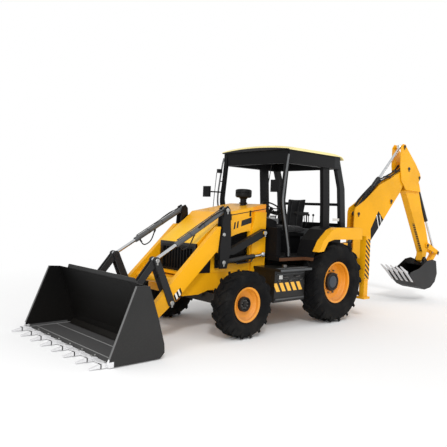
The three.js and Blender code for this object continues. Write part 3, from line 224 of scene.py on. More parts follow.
def met_by(tree, *kinds):
    """1 where a ray of one of these kinds meets the surface."""
    rays = Wire(tree, None).node("ShaderNodeLightPath", {}, {}).socket.node.outputs
    met = Wire(tree, rays[f"Is {kinds[0]} Ray"])
    for kind in kinds[1:]:
        met = met.either(Wire(tree, rays[f"Is {kind} Ray"]))
    return met


blend = pale.start.node("ShaderNodeMixShader", {}, {
    0: met_by(pale.tree, "Camera", "Glossy", "Transmission") * apart.rise(3.0, 9.0),
    1: Wire(pale.tree, pale.shader.outputs[0]), 2: white})
pale.tree.links.new(blend.socket, pale.out.inputs[0])
floor.data.materials.append(pale.material)

SKY_LIGHT = 0.78
world = bpy.data.worlds.new("sky")
bpy.context.scene.world = world
world.use_nodes = True
world.node_tree.nodes.clear()
seen = met_by(world.node_tree, "Camera", "Transmission")
light = seen.node("ShaderNodeBackground", {}, {0: (1, 1, 1, 1), 1: seen * (1 - SKY_LIGHT) + SKY_LIGHT})
world_out = world.node_tree.nodes.new("ShaderNodeOutputWorld")
world.node_tree.links.new(light.socket, world_out.inputs[0])

# ---------------------------------------------------------------- paint on the steelwork
# Welded plate, sprayed and baked. The yellow is a warm chrome yellow with a satin shine; it has a
# fine orange peel, slow changes of tone, and a film of dust on what faces up and lies low.
YELLOW, DEEP_YELLOW = (0.87, 0.41, 0.005), (0.84, 0.31, 0.008)
BLACK, CHARCOAL = (0.006, 0.006, 0.0065), (0.022, 0.022, 0.023)
DUST, DARKER, PEEL_DEPTH = (0.36, 0.31, 0.25), 0.82, 0.0006
TONE_GRAIN, DIRT_GRAIN, PEEL_GRAIN = 1.7, 38.0, 220.0     # noise scales, in a metre


def paint(name, base, shine=0.34, marks=(), dusty=0.5, metal=0.0, gloss=0.35):
    """Paint with tone = base times 1 plus or minus a slow noise, marks laid on it one by one where
    their mask is 1, and dust = noise x facing up x nearness to the ground."""
    made = Finish(name, Metallic=metal, Specular_IOR_Level=gloss)
    slow, fine = made.noise(TONE_GRAIN, 4.0), made.noise(DIRT_GRAIN, 4.0, 0.65)
    dark = tuple(DARKER * c for c in base)
    colour = (slow * 0.75 + fine * 0.25).rise(0.28, 0.62).mix(dark, base)
    for mask, tint in marks:
        colour = mask(made.x, made.y, made.z).mix(colour, tint)
    film = (fine.rise(0.35, 0.8) * 0.6 + 0.4) * (made.up.rise(0.2, 0.95) * 0.35 + (
        1 - made.z.rise(0.1, 1.1)) * 0.3) * dusty
    made.feed(Base_Color=film.mix(colour, DUST), Roughness=fine * 0.16 + film * 0.5 + (shine - 0.08))
    made.bump(made.noise(PEEL_GRAIN, 2.0) + fine * 0.7, PEEL_DEPTH)
    return made.material


yellow_paint = paint("yellow_paint", YELLOW, dusty=0.22, gloss=0.2)
black_paint = paint("black_paint", BLACK, 0.42, dusty=0.06, gloss=0.15)


def dress(finish, *nodes):
    """Gives CAD nodes a finish."""
    for node in nodes:
        slots = frame["nodes"][node].data.materials
        slots.clear()
        slots.append(finish)


dress(yellow_paint, "chassis_frame")

# ---------------------------------------------------------------- tyres
# Black rubber on a round carcass, moulded with two rows of slanted bars half a pitch apart that
# run from the middle of the tread over the shoulder. The rubber is matt and a little dusty.


def grid(rows, columns, row_loop=False, column_loop=False):
    """The quads of a grid of points that is numbered row by row; a loop joins its ends."""
    i, j = np.meshgrid(np.arange(rows - (not row_loop)), np.arange(columns - (not column_loop)),
                       indexing="ij")
    i, j = i.ravel(), j.ravel()
    k, m = (i + 1) % rows, (j + 1) % columns
    return np.stack([i * columns + j, i * columns + m, k * columns + m, k * columns + j], 1).tolist()


def sleeve(rows, columns):
    """The quads of a grid whose rows are loops, with a cap over each end."""
    last = (rows - 1) * columns
    return grid(rows, columns, False, True) + [list(range(columns)), list(range(last, last + columns))]


def rows_of(length):
    """A unit vector along a direction, and two more square to it and to each other."""
    along = np.asarray(length, float) / np.linalg.norm(length)
    aside = np.cross(along, (0, 0, 1) if abs(along[2]) < 0.9 else (0, 1, 0))
    aside /= np.linalg.norm(aside)
    return along, aside, np.cross(along, aside)


def turned(profile, centre, axis=(0, 1, 0), sides=48, closed=False, phase=0.0):
    """A profile of (radius r, distance d) turned round an axis: the point at angle t is
    centre + d * axis + r * (cos t * u + sin t * v)."""
    profile = np.asarray(profile, float)
    along, u, v = rows_of(axis)
    t = np.linspace(0, 2 * np.pi, sides, endpoint=False)[None, :, None] + phase
    points = (np.asarray(centre, float) + profile[:, 1, None, None] * along
              + profile[:, 0, None, None] * (np.cos(t) * u + np.sin(t) * v))
    return points.reshape(-1, 3), grid(len(profile), sides, closed, True)


def through(points, steps=6):
    """A smooth line through points: on each span the Catmull-Rom cubic, whose slope at a point is
    half the step from the point before it to the point after it."""
    p = np.asarray(points, float)
    p = np.concatenate([2 * p[:1] - p[1:2], p, 2 * p[-1:] - p[-2:-1]])
    t = np.linspace(0, 1, steps, endpoint=False)[None, :, None]
    a, b, c, d = (p[k:len(p) - 3 + k, None] for k in range(4))
    line = 0.5 * (2 * b + (c - a) * t + (2 * a - 5 * b + 4 * c - d) * t ** 2
                  + (3 * b - a - 3 * c + d) * t ** 3)
    return np.concatenate([line.reshape(-1, p.shape[1]), p[-2:-1]])


def together(*forms):
    """Several forms, each points and faces, as one."""
    starts = np.cumsum([0] + [len(points) for points, _ in forms])
    return (np.concatenate([points for points, _ in forms]),
            [[i + start for i in face] for (_, faces), start in zip(forms, starts) for face in faces])


def build(name, form, body, finish, edge=0.0, stands_for=(), crease=32):
    """Makes a piece of forms at its place on the machine, closes its seams, turns its faces out,
    rounds its edges and lets it ride on a body."""
    mesh = bpy.data.meshes.new(name)
    points, faces = form
    mesh.from_pydata((points + np.array(ORIGIN)).tolist(), [], faces)
    work = bmesh.new()
    work.from_mesh(mesh)
    bmesh.ops.remove_doubles(work, verts=work.verts, dist=1e-5)
    bmesh.ops.recalc_face_normals(work, faces=work.faces)
    work.to_mesh(mesh)
    work.free()
    mesh.shade_smooth()
    mesh.set_sharp_from_angle(angle=math.radians(crease))
    mesh.materials.append(finish)
    piece = add(name, mesh)
    if edge:
        bevel = piece.modifiers.new("edges", "BEVEL")
        bevel.width, bevel.segments, bevel.limit_method = edge, 2, "ANGLE"
    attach(piece, body)
    if stands_for:
        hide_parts(*stands_for)
    return piece


WHEELS = [
    # end, place along the machine, radius, half width, middle plane, rim radius, half rim width, dish
    # of the disc from the rim's edge, hub radius, bars in a row, depth of tread; number of nuts,
    # their ring's radius as a share of the hub's, and how far the ring stands out from the disc
    SimpleNamespace(end="rear", x=0.0, radius=REAR_RADIUS, half=0.19, track=0.86, rim=0.352, rim_half=0.14,
                    dish=0.138, hub=0.16, lugs=17, tread=0.034, nuts=10, ring=1.22, out=0.0),
    SimpleNamespace(end="front", x=2.16, radius=0.49, half=0.16, track=0.90, rim=0.256, rim_half=0.115,
                    dish=0.100, hub=0.11, lugs=16, tread=0.026, nuts=8, ring=0.54, out=0.02),
]
SIDES = (("left", 1), ("right", -1))
# a bar's width on top and at its foot, its lean in radians from the middle to the shoulder, its wear
LUG_TOP, LUG_FOOT, LUG_SLANT, LUG_WEAR = 0.044, 0.062, 0.30, 0.0005

tyre = Finish("tyre_rubber", Specular_IOR_Level=0.09)
grit = tyre.noise(60.0, 5.0, 0.7)
worn = (tyre.noise(5.0, 3.0) * 0.6 + grit * 0.4).rise(0.42, 0.75)
tyre.feed(Base_Color=(worn * 0.55 + (1 - tyre.z.rise(0.0, 0.5)) * 0.15).mix(
    (0.005, 0.005, 0.0055), (0.028, 0.026, 0.023)), Roughness=grit * 0.25 + 0.62)
tyre.bump(grit, 0.0015)


def carcass(w):
    """The tyre's section is a smooth line from bead to bead over the sidewall's bulge, closed by a
    straight line inside, and is turned round the axle."""
    crown, seat, bead = w.radius - w.tread, w.rim - 0.0157, w.rim_half - 0.0123
    flank = through([
        (w.rim + 0.002, bead), (w.rim + 0.022, bead + 0.006), (w.rim + 0.075, w.half * 0.95),
        (w.rim + 0.5 * (crown - w.rim), w.half), (crown - 0.07, w.half * 0.985),
        (crown - 0.014, w.half * 0.86), (crown, w.half * 0.55), (crown + 0.002, 0.0)], 4)
    return np.concatenate([[(seat, bead)], flank, flank[-2::-1] * (1, -1), [(seat, -bead)]])


def bars(w, flank, phase):
    """Tread bars of one row. Along a bar, s goes over stations from the middle of the tread to
    the sidewall; its top and its foot each have a radius r and a sideways place y, and it lies at
    the angle pitch * i + slant * y / half, so that it leans; its four edges are closed by caps."""
    r, h = w.radius - LUG_WEAR, w.half
    foot = r - w.tread - 0.008
    top = np.array([(r, -0.010), (r, 0.3 * h), (r - 0.001, 0.62 * h), (r - 0.004, 0.88 * h),
                    (r - 0.022, 0.985 * h), (r - 0.065, h), (r - 0.10, 0.985 * h)])
    low = np.array([(foot, -0.010), (foot, 0.3 * h), (foot, 0.6 * h), (foot - 0.01, 0.75 * h),
                    (foot - 0.03, 0.88 * h), (r - 0.085, 0.93 * h), (r - 0.12, 0.95 * h)])
    i = np.arange(w.lugs)[:, None, None]
    station = np.stack([low, top, top, low], 1)[None]
    wide = np.array([-LUG_FOOT, -LUG_TOP, LUG_TOP, LUG_FOOT])[None, None] / 2
    swell = np.linspace(0.9, 1.15, len(top))[None, :, None]
    angle = (i + phase) * 2 * np.pi / w.lugs + LUG_SLANT * station[..., 1] / h + wide * swell / r
    points = np.stack([station[..., 0] * np.sin(angle), flank * station[..., 1] + 0 * angle,
                       -station[..., 0] * np.cos(angle)], -1)
    return together(*[(bar.reshape(-1, 3), sleeve(len(top), 4)) for bar in points])


# ---------------------------------------------------------------- rims, hubs and nuts
# Rolled steel rims with a deep dished disc, sprayed yellow. The black cast hub carries a ring of
# nuts; the rear hub ends in a grey planetary cover, the front one is sunk in a black cup.
rim_paint = paint("rim_paint", DEEP_YELLOW, 0.38, dusty=0.8)
hub_paint = paint("hub_paint", (0.008, 0.008, 0.0085), 0.45, dusty=0.2, gloss=0.2)
cover_paint = paint("cover_paint", (0.035, 0.048, 0.066), 0.4, dusty=0.3, gloss=0.3)
nut_steel = paint("nut_steel", (0.16, 0.155, 0.15), 0.36, dusty=0.3, metal=0.9)
NUT = [(0, -0.006), (0.016, -0.006), (0.016, 0.012), (0.013, 0.014), (0.008, 0.014), (0.007, 0.026),
       (0, 0.026)]

for w in WHEELS:
    half, hub, lip = w.rim_half, w.hub, w.rim - 0.016
    face, inner = w.rim_half - w.dish, w.rim - 0.028
    # each profile gives a radius and a distance out from the wheel's middle
    disc = [(0, face - 0.024), (inner - 0.03, face - 0.024), (inner - 0.004, face - 0.035),
            (inner - 0.004, -half + 0.004), (w.rim, -half), (w.rim, -half + 0.012),
            (lip, -half + 0.014), (lip, half - 0.014), (w.rim, half - 0.012), (w.rim, half),
            (w.rim - 0.008, half), (inner, half - 0.012), (inner, half * 0.55),
            (inner - 0.012, half * 0.45), (inner - 0.014, face + 0.03), (inner - 0.035, face + 0.004),
            (hub * 1.5, face), (hub * 1.4, face - 0.006), (hub * 1.05, face - 0.006), (hub * 1.03, face),
            (0, face)]
    cover = [(0, face + 0.044), (hub * 0.66, face + 0.044), (hub * 0.64, face + 0.055),
             (hub * 0.5, face + 0.06), (0, face + 0.06)]
    drum = [(0, face), (hub, face), (hub, face + 0.045), (hub - 0.01, face + 0.056),
            (hub * 0.74, face + 0.058), (hub * 0.72, face + 0.045), (0, face + 0.045)]
    cup = [(0, face), (hub, face), (hub * 0.97, face + 0.05), (hub * 0.9, face + 0.058),
           (hub * 0.8, face + 0.056), (hub * 0.76, face + 0.02), (hub * 0.3, face + 0.02),
           (hub * 0.28, face + 0.04), (0, face + 0.042)]
    for side_name, side in SIDES:
        axis, body = (0, side, 0), f"{w.end}_wheel_{side_name}"
        middle = np.array((w.x, side * w.track, w.radius))
        treads = [(points * (1, side, 1) + middle, faces)
                  for points, faces in (bars(w, 1, 0.0), bars(w, -1, 0.5))]
        build(f"{body}_tyre", together(turned(carcass(w), middle, axis, 96, True), *treads), body,
              tyre.material, stands_for=[f"{w.end}_tyre_{side_name}"], crease=38)
        build(f"{body}_rim", turned(disc, middle, axis, 80), body, rim_paint,
              stands_for=[f"{w.end}_rim_{side_name}"], crease=40)
        if w.end == "rear":
            build(f"{body}_cover", turned(cover, middle, axis, 40), body, cover_paint)
        build(f"{body}_hub", turned(drum if w.end == "rear" else cup, middle, axis, 48), body, hub_paint)
        nuts = [turned(np.array(NUT) + (0, face + w.out),
                       middle + hub * w.ring * np.array((math.sin(t), 0, math.cos(t))), axis, 6)
                for t in 2 * np.pi * (np.arange(w.nuts) + 0.5) / w.nuts]
        build(f"{body}_nuts", together(*nuts), body, nut_steel)

# ---------------------------------------------------------------- axles and knuckles
# Cast iron housings, sprayed dark grey, with oily dirt on them. The steering knuckles and what
# shows of the engine under the hood have the same coat.
iron_paint = paint("iron_paint", (0.014, 0.0145, 0.016), 0.5, dusty=0.6, gloss=0.25)
dress(iron_paint, "rear_axle", "front_axle", "steering_knuckle_left", "steering_knuckle_right",
      "engine_block")

# ---------------------------------------------------------------- bonnet, grille and engine side
# A pressed steel hood. Its nose is black round the radiator grille, its sides carry a black panel
# with two slanted bars, and a black seam runs where the top opens. A ribbed black screen closes
# the opening in each side, and the hood is held by two rubber latches.
HOOD_SIDE = 0.426     # just inside the hood's flat sides


def prism(outline, near, far):
    """An outline in X and Z carried straight across from one sideways place to another."""
    outline = np.asarray(outline, float)
    n = len(outline)
    points = np.concatenate([np.insert(outline, 1, y, axis=1) for y in (near, far)])
    k = np.arange(n)
    walls = np.stack([k, (k + 1) % n, (k + 1) % n + n, k + n], 1).tolist()
    return points, walls + [list(range(n)), list(range(n, 2 * n))]


def block(x0, x1, y0, y1, z0, z1):
    """A box between two corners."""
    return prism([(x0, z0), (x1, z0), (x1, z1), (x0, z1)], y0, y1)


def both(form):
    """A form and its mirror image on the machine's other side."""
    points, faces = form
    return together(form, (points * (1, -1, 1), [face[::-1] for face in faces]))


def seam_height(x):
    """The joint under the hood's lid: it falls by 0.155 m in each metre forward."""
    return 1.885 - (x - 1.24) * 0.155


def bonnet_black(x, y, z):
    """The nose's cheeks and face below the hood's brow, the side panel and the two slanted bars.
    A slanted place is x + 0.3 * z, so the bars lean."""
    side = abs(y) > HOOD_SIDE
    cheek = (x > 2.395) * ((z + x * 0.9) < 3.56) + (x > 2.655) * (z < 1.335)
    lean, sweep = x + z * 0.12, z + (x - 1.55) * 0.26
    panel = (x > 1.552) * (lean < 1.981) * sweep.within(1.655, 1.746)
    bars_at = sweep.within(1.650, 1.754) * (lean.within(2.040, 2.072) + lean.within(2.102, 2.134))
    seam = abs(z - seam_height(x)) < 0.007
    return (cheek + side * (panel + bars_at + seam * (x < 2.06))).rise(0.4, 0.6)


def bonnet_shade(x, y, z):
    """The rear side panel, a tone deeper, behind its joint."""
    return (x < 1.535) * (abs(y) > HOOD_SIDE)


def bonnet_slope_highlight(x, y, z):
    """A painted highlight on the hood's falling front: its two flat bands from shoulder to brow to nose are
    painted a brighter lemon yellow.
    """
    upper = (abs(z + x * 0.7168 - 3.277) < 0.006) * x.within(2.214, 2.51)
    lower = (abs(z + x * 0.8158 - 3.5245) < 0.006) * (x > 2.50)
    return (upper * (x - 2.214) / 0.25 + lower).math("MINIMUM", 1.0)


# the brighter lemon on the hood's front slope is a painted highlight
bonnet_paint = paint("bonnet_paint", YELLOW, marks=[
    (bonnet_slope_highlight, (0.90, 0.50, 0.006)), (bonnet_shade, (0.82, 0.30, 0.010)), (bonnet_black, BLACK)],
    dusty=0.2, gloss=0.35)
dress(bonnet_paint, "bonnet")
dress(black_paint, "grille")

SCREEN_Y = 0.352     # the screen's outer face, just inside the hood's side
screen = [block(1.588, 2.2, SCREEN_Y - 0.004, SCREEN_Y, 1.0, 1.53)]
screen += [block(1.59, 2.19, SCREEN_Y - 0.002, SCREEN_Y + 0.008, z, z + 0.009)
           for z in 1.03 + 0.031 * np.arange(16)]
build("bonnet_side_screens", both(together(*screen)), "chassis", black_paint)

latch_rubber = paint("latch_rubber", BLACK, 0.6, dusty=0.2, gloss=0.2)
latches = [prism([(x - 0.016, seam_height(x) - 0.075), (x + 0.016, seam_height(x) - 0.075),
                  (x + 0.012, seam_height(x) + 0.02), (x - 0.012, seam_height(x) + 0.02)], 0.4302, 0.444)
           for x in (1.60, 2.02)]
build("bonnet_latches", both(together(*latches)), "chassis", latch_rubber, edge=0.004)

# small square mesh behind the upright slats of the nose, and the core behind it
MESH_PITCH, MESH_WIRE = 0.024, 0.003
wires = [block(2.655, 2.658, -0.36, 0.36, z, z + MESH_WIRE) for z in 0.935 + MESH_PITCH * np.arange(15)]
wires += [block(2.655, 2.658, y, y + MESH_WIRE, 0.93, 1.27) for y in -0.352 + MESH_PITCH * np.arange(30)]
build("grille_mesh", together(*wires), "chassis", black_paint)
build("radiator_core", block(2.63, 2.645, -0.37, 0.37, 0.91, 1.27), "chassis", iron_paint)

# ---------------------------------------------------------------- air cleaner stack
# A plastic bowl with a domed lid and ribs round its side, held by a collar on a steel pipe that
# comes up out of the hood. All of it is black.
BOWL_AT, BOWL, FINS = (1.40, 0.06, 0.0), 0.135, 9     # the bowl's axis, its radius, its plates
bowl = [(0, 1.79), (0.052, 1.79), (0.052, 2.03), (0.062, 2.035), (0.07, 2.052), (0.112, 2.056),
        (0.128, 2.066), (BOWL, 2.085), (BOWL, 2.125), (0.128, 2.130), (0.128, 2.136), (BOWL, 2.141),
        (BOWL, 2.168), (0.127, 2.184), (0.10, 2.194), (0.05, 2.1995), (0, 2.2)]
collar = [(0.0525, 1.955), (0.064, 1.955), (0.068, 1.962), (0.068, 1.975), (0.0525, 1.98)]


def spun(form, angle, centre):
    """A form turned by an angle about the origin's upright line, then carried to a centre."""
    points, faces = form
    c, s = math.cos(angle), math.sin(angle)
    return points @ np.array([[c, s, 0], [-s, c, 0], [0, 0, 1]]) + centre, faces


fins = [spun(block(-0.004, 0.004, 0.001 - BOWL, BOWL - 0.001, 2.088, 2.165), math.pi * i / FINS, BOWL_AT)
        for i in range(FINS)]
build("air_cleaner", together(turned(bowl, BOWL_AT, (0, 0, 1), 48), *fins,
                              turned(collar, BOWL_AT, (0, 0, 1), 40, True)),
      "chassis", black_paint, stands_for=["exhaust_stack"])


def tube(path, radius, sides=10):
    """A round section carried along a smooth path: at each point two directions square to the
    path's slope span the circle; the ends are closed by flat caps."""
    path = np.asarray(path, float)
    slope = np.gradient(path, axis=0)
    slope /= np.linalg.norm(slope, axis=1, keepdims=True)
    u = np.cross(slope, np.eye(3)[np.argmin(np.abs(slope).max(axis=0))])
    u /= np.linalg.norm(u, axis=1, keepdims=True)
    v = np.cross(slope, u)
    t = np.linspace(0, 2 * np.pi, sides, endpoint=False)[None, :, None]
    points = path[:, None] + radius * (np.cos(t) * u[:, None] + np.sin(t) * v[:, None])
    return points.reshape(-1, 3), sleeve(len(path), sides)


# a marker stands on its thin rod on the far side of the hood
build("marker_rod", together(tube([(1.63, -0.43, 1.86), (1.61, -0.432, 2.1), (1.575, -0.432, 2.47)], 0.006),
                             block(1.49, 1.565, -0.4455, -0.385, 2.465, 2.53),
                             block(1.60, 1.66, -0.4445, -0.4302, 1.80, 1.87)),
      "chassis", black_paint, edge=0.004)

# ---------------------------------------------------------------- cab shell
# Welded box-section frame and floor, sprayed black. A bent grey grab rail stands before each
# front pillar, and a roof of cream glass fibre lies on the frame.
RUST_BROWN = (0.105, 0.045, 0.022)


def sill(x, y, z):
    """The brown primed sill under the door."""
    return (abs(y) > 0.735) * z.within(1.0, 1.112)


def rear_corner(x, y, z):
    """The wide rear posts, a tone lighter than the frame."""
    return x.within(-0.47, -0.1) * (z > 1.7) * (abs(y) > 0.7)


cab_black = paint("cab_black", BLACK, 0.5, dusty=0.04, gloss=0.1)
dress(cab_black, "dash_console", "seat_base")
dress(paint("floor_paint", BLACK, 0.5, marks=[(sill, RUST_BROWN)], dusty=0.08, gloss=0.1), "cab_floor")
dress(paint("frame_paint", BLACK, 0.5, marks=[(rear_corner, (0.017, 0.018, 0.0195))], dusty=0.04, gloss=0.1),
      "cab_frame")

ROOF_HALF, ROOF_ARCH, ROOF_SHOULDER, ROOF_THICK = 0.79, 0.046, 0.016, 0.055
ROOF_LINE = np.array([  # place along the machine, underside, top at the sides
    (-0.33, 2.795, 2.797), (-0.318, 2.806, 2.822), (-0.30, 2.818, 2.842), (-0.26, 2.845, 2.856),
    (-0.16, 2.845, 2.880), (-0.07, 2.845, 2.896), (0.03, 2.845, 2.900), (0.50, 2.845, 2.900),
    (0.90, 2.845, 2.900), (0.99, 2.845, 2.899), (1.07, 2.845, 2.895), (1.13, 2.845, 2.886),
    (1.145, 2.852, 2.877), (1.15, 2.862, 2.866)])


def roof_shell(sides=24):
    """At each place along the machine the underside is level, and across it the top rises by
    arch * (1 - v^2) and falls by shoulder * v^6 * height / thickness, where v goes from -1 to 1
    between the sides."""
    v = np.concatenate([np.linspace(-1, 1, sides), np.linspace(1, -1, sides)])
    x, low, top = (ROOF_LINE[:, k, None] + 0 * v for k in range(3))
    arched = top + ROOF_ARCH * (1 - v ** 2) - ROOF_SHOULDER * v ** 6 * (top - low) / ROOF_THICK
    points = np.stack([x, ROOF_HALF * v + 0 * x, np.where(np.arange(len(v)) >= sides, arched, low)], -1)
    j = np.arange(sides - 1)
    end = np.stack([j, j + 1, 2 * sides - 2 - j, 2 * sides - 1 - j], 1)
    caps = np.concatenate([end, end + 2 * sides * (len(ROOF_LINE) - 1)]).tolist()
    return points.reshape(-1, 3), grid(len(ROOF_LINE), 2 * sides, False, True) + caps


def headlining(x, y, z):
    """The black lining under the roof and the black face between it and the arched lip."""
    arch = (1 - (y / ROOF_HALF) * (y / ROOF_HALF)) * ROOF_ARCH
    return (z - arch < 2.857) * (abs(y) < 0.786) * x.within(-0.26, 1.2)


roof_cream = paint("roof_cream", (0.90, 0.78, 0.36), 0.5, marks=[(headlining, BLACK)], dusty=0.25)
build("roof_shell", roof_shell(), "chassis", roof_cream, stands_for=["cab_roof"], crease=40)
dress(yellow_paint, "rear_fender_left", "rear_fender_right")

grey_plastic = paint("grey_plastic", (0.12, 0.125, 0.13), 0.45, dusty=0.1)
rail = through([(1.118, 0.765, 2.77), (1.15, 0.772, 2.62), (1.2, 0.775, 2.3), (1.226, 0.775, 2.05),
                (1.20, 0.775, 1.86), (1.12, 0.775, 1.55), (1.045, 0.772, 1.25), (1.028, 0.765, 1.14)], 6)
build("grab_rails", both(together(
    tube(rail, 0.015, 12), *[tube([(x - 0.05, 0.745, z), (x, 0.772, z)], 0.010, 8)
                             for x, z in ((1.19, 2.35), (1.135, 1.6), (1.05, 1.27))])),
    "chassis", grey_plastic)

# a rubber bead under the roof's edge and round each doorway
gutter = tube([(-0.255, 0.772, 2.638), (1.052, 0.772, 2.638)], 0.006, 8)
doorway = tube(through([(0.99, 0.752, 1.13), (1.135, 0.752, 1.78), (1.185, 0.752, 2.03),
                        (1.13, 0.752, 2.45), (1.105, 0.752, 2.62)], 5), 0.006, 8)
build("door_seals", both(together(gutter, doorway)), "chassis", latch_rubber)

# ---------------------------------------------------------------- mirrors, lamps and wiper
# Moulded black shells with glass faces. The work lamps hang under the roof at its rear corners,
# and a wiper with one blade lies on the windscreen's place.
mirror_glass = Finish("mirror_glass", Metallic=1.0, Roughness=0.05)
mirror_glass.feed(Base_Color=mirror_glass.noise(3.0).mix((0.72, 0.76, 0.80), (0.80, 0.83, 0.86)))
lamp_glass = Finish("lamp_glass", Coat_Weight=0.6, Coat_Roughness=0.08)
ribs = (lamp_glass.y * 420.0).math("SINE") * 0.5 + 0.5
lamp_glass.feed(Base_Color=ribs.mix((0.62, 0.66, 0.70), (0.86, 0.88, 0.90)), Roughness=ribs * 0.2 + 0.12)
for (name, side), z in zip(SIDES, (2.245, 2.155)):
    build(f"mirror_glass_{name}", block(1.4365, 1.4395, side * 0.738, side * 0.882, z - 0.083, z + 0.083),
          "chassis", mirror_glass.material, edge=0.001)

lamp_shell = [(0, 0), (0.034, 0.004), (0.048, 0.03), (0.05, 0.055), (0.046, 0.057), (0.044, 0.05),
              (0, 0.048)]
lamp_face = [(0, 0.0485), (0.043, 0.0505), (0.04, 0.0555), (0, 0.060)]
for name, profile, finish, slot in (("work_lamps", lamp_shell, cab_black, "black_paint"),
                                    ("work_lamp_glasses", lamp_face, lamp_glass.material, "chrome")):
    build(name, both(turned(profile, (-0.29, 0.60, 2.735), (-1, 0, 0), 24)), "chassis", finish)

build("wiper", together(tube([(1.118, 0.40, 2.60), (1.16, 0.375, 2.25), (1.172, 0.352, 2.05)], 0.006, 8),
                        tube([(1.168, 0.31, 1.93), (1.176, 0.352, 2.05), (1.168, 0.39, 2.2)], 0.007, 6)),
      "chassis", cab_black)

# ---------------------------------------------------------------- driver's place
# A thin-rimmed steering wheel on a tilted column, a dash with dials and levers, a padded seat on
# a pressed base with armrests, and a rear console with the backhoe's levers.
WHEEL_AT, WHEEL_TILT = np.array((0.64, 0.0, 1.90)), (-0.547786, 0.0, 0.836619)
HOOP, HOOP_THICK = 0.19, 0.013
along, u, v = rows_of(WHEEL_TILT)
t = np.linspace(0, 2 * np.pi, 12, endpoint=False)
hoop = turned(np.stack([HOOP + HOOP_THICK * np.cos(t), HOOP_THICK * np.sin(t)], 1), WHEEL_AT, WHEEL_TILT,
              64, True)
spokes = [tube([WHEEL_AT + 0.03 * d, WHEEL_AT + 0.11 * d - 0.006 * along, WHEEL_AT + 0.185 * d], 0.009, 8)
          for d in (v, -v, u)]
hub = turned([(0, -0.014), (0.035, -0.014), (0.036, 0.006), (0.03, 0.013), (0, 0.0148)], WHEEL_AT,
             WHEEL_TILT, 24)
build("steering_rim", together(hoop, *spokes, hub), "steering", latch_rubber,
      stands_for=["steering_wheel"])

dials = Finish("dial_faces", Roughness=0.25)
ring = abs((dials.y * 9.0).math("FRACT") - 0.5) < 0.30
dials.feed(Base_Color=ring.mix(BLACK, (0.45, 0.46, 0.47)))
dash_side = [(0.752, 1.66), (0.80, 1.7005), (0.97, 1.745), (1.098, 1.76), (1.098, 1.7205), (0.752, 1.7205)]
build("dash_panel", prism(dash_side, -0.262, 0.262), "chassis", grey_plastic, edge=0.012)
build("dash_dials", block(0.7485, 0.7515, -0.21, 0.21, 1.55, 1.64), "chassis", dials.material)
build("consoles", together(block(0.16, 0.56, -0.40, -0.27, 1.121, 1.36),
                           block(-0.42, -0.30, -0.22, 0.22, 1.121, 1.55)),
      "chassis", grey_plastic, edge=0.015)


def lever(path, knob, foot):
    """A bent rod of 7 mm radius with a turned knob on its tip; the knob's foot is at a height."""
    return together(tube(through(path), 0.007, 8), turned(knob, (*path[-1][:2], foot), (0, 0, 1), 16))


front_knob = [(0, 0), (0.018, 0.006), (0.022, 0.026), (0.014, 0.046), (0, 0.05)]
rear_knob = [(0, 0), (0.018, 0.006), (0.021, 0.026), (0.013, 0.044), (0, 0.048)]
levers = [lever([(x, y, z), (x - 0.02, y * 1.02, z + 0.12), (x - 0.05, y * 1.06, z + 0.26)], front_knob,
                z + 0.24) for x, y, z in ((0.78, 0.22, 1.66), (0.42, -0.34, 1.36), (0.36, -0.34, 1.36))]
levers += [lever([(-0.36, y, 1.55), (-0.345, y, 1.68), (-0.33, y * 1.1, 1.80)], rear_knob, 1.785)
           for y in (-0.15, -0.05, 0.05, 0.15)]
build("control_levers", together(*levers), "chassis", latch_rubber)
arm_pad = prism([(-0.02, 1.80), (0.30, 1.80), (0.33, 1.83), (0.30, 1.86), (-0.03, 1.86)], 0.245, 0.30)
bracket = tube([(0.0, 0.262, 1.60), (-0.01, 0.27, 1.70), (0.0, 0.272, 1.81)], 0.013, 8)
build("seat_armrests", both(together(arm_pad, bracket)), "chassis", latch_rubber, edge=0.012)
pedals = [prism([(0.70, 1.20), (0.735, 1.205), (0.755, 1.30), (0.72, 1.295)], y, y + 0.07)
          for y in (-0.19, -0.09, 0.07)]
build("pedals", together(*pedals), "chassis", latch_rubber, edge=0.006)

cloth = Finish("seat_cloth", Sheen_Weight=0.25, Roughness=0.95, Specular_IOR_Level=0.15)
weave = (cloth.y * 900.0).math("SINE") * ((cloth.x + cloth.z) * 900.0).math("SINE")
nap = cloth.noise(9.0, 3.0)
cloth.feed(Base_Color=(nap * 0.7 + weave * 0.15).rise(0.2, 0.8).mix((0.007, 0.007, 0.008),
                                                                   (0.018, 0.018, 0.020)))
cloth.bump(weave * 0.4 + nap, 0.0012)


def pillow(centre, ahead, rise, wide, deep, thick, pull, count=29):
    """A padded form: the unit square (a, b) in -1..1 is stretched to wide by deep, its sides drawn
    in by pull * (1 - corner nearness), and it swells both ways by
    thick / 2 * ((1 - a^4) * (1 - b^4))^0.4; the two skins meet in one seam."""
    a = np.sin(np.linspace(-np.pi / 2, np.pi / 2, count))
    a, b = np.meshgrid(a, a, indexing="ij")
    crown = 0.5 * thick * ((1 - a ** 4) * (1 - b ** 4)) ** 0.4
    # sewn channels: two shallow furrows along, one across
    for place, line in ((-0.42, a), (0.42, a), (0.1, b)):
        crown -= 0.13 * thick * np.exp(-((line - place) / 0.035) ** 2) * (crown > 0.2 * thick)
    flat = (np.array(centre) + (0.5 * wide * a * (1 - pull * (1 - b ** 2)))[..., None] * (0.0, 1.0, 0.0)
            + (0.5 * deep * b * (1 - pull * (1 - a ** 2)))[..., None] * np.array(ahead))
    swell, quads = crown[..., None] * np.array(rise), grid(count, count)
    return together(((flat + swell).reshape(-1, 3), quads),
                    ((flat - swell).reshape(-1, 3), [quad[::-1] for quad in quads]))


def places(mesh):
    """All of a mesh's points as one array."""
    flat = np.empty(3 * len(mesh.vertices))
    mesh.vertices.foreach_get("co", flat)
    return flat.reshape(-1, 3)


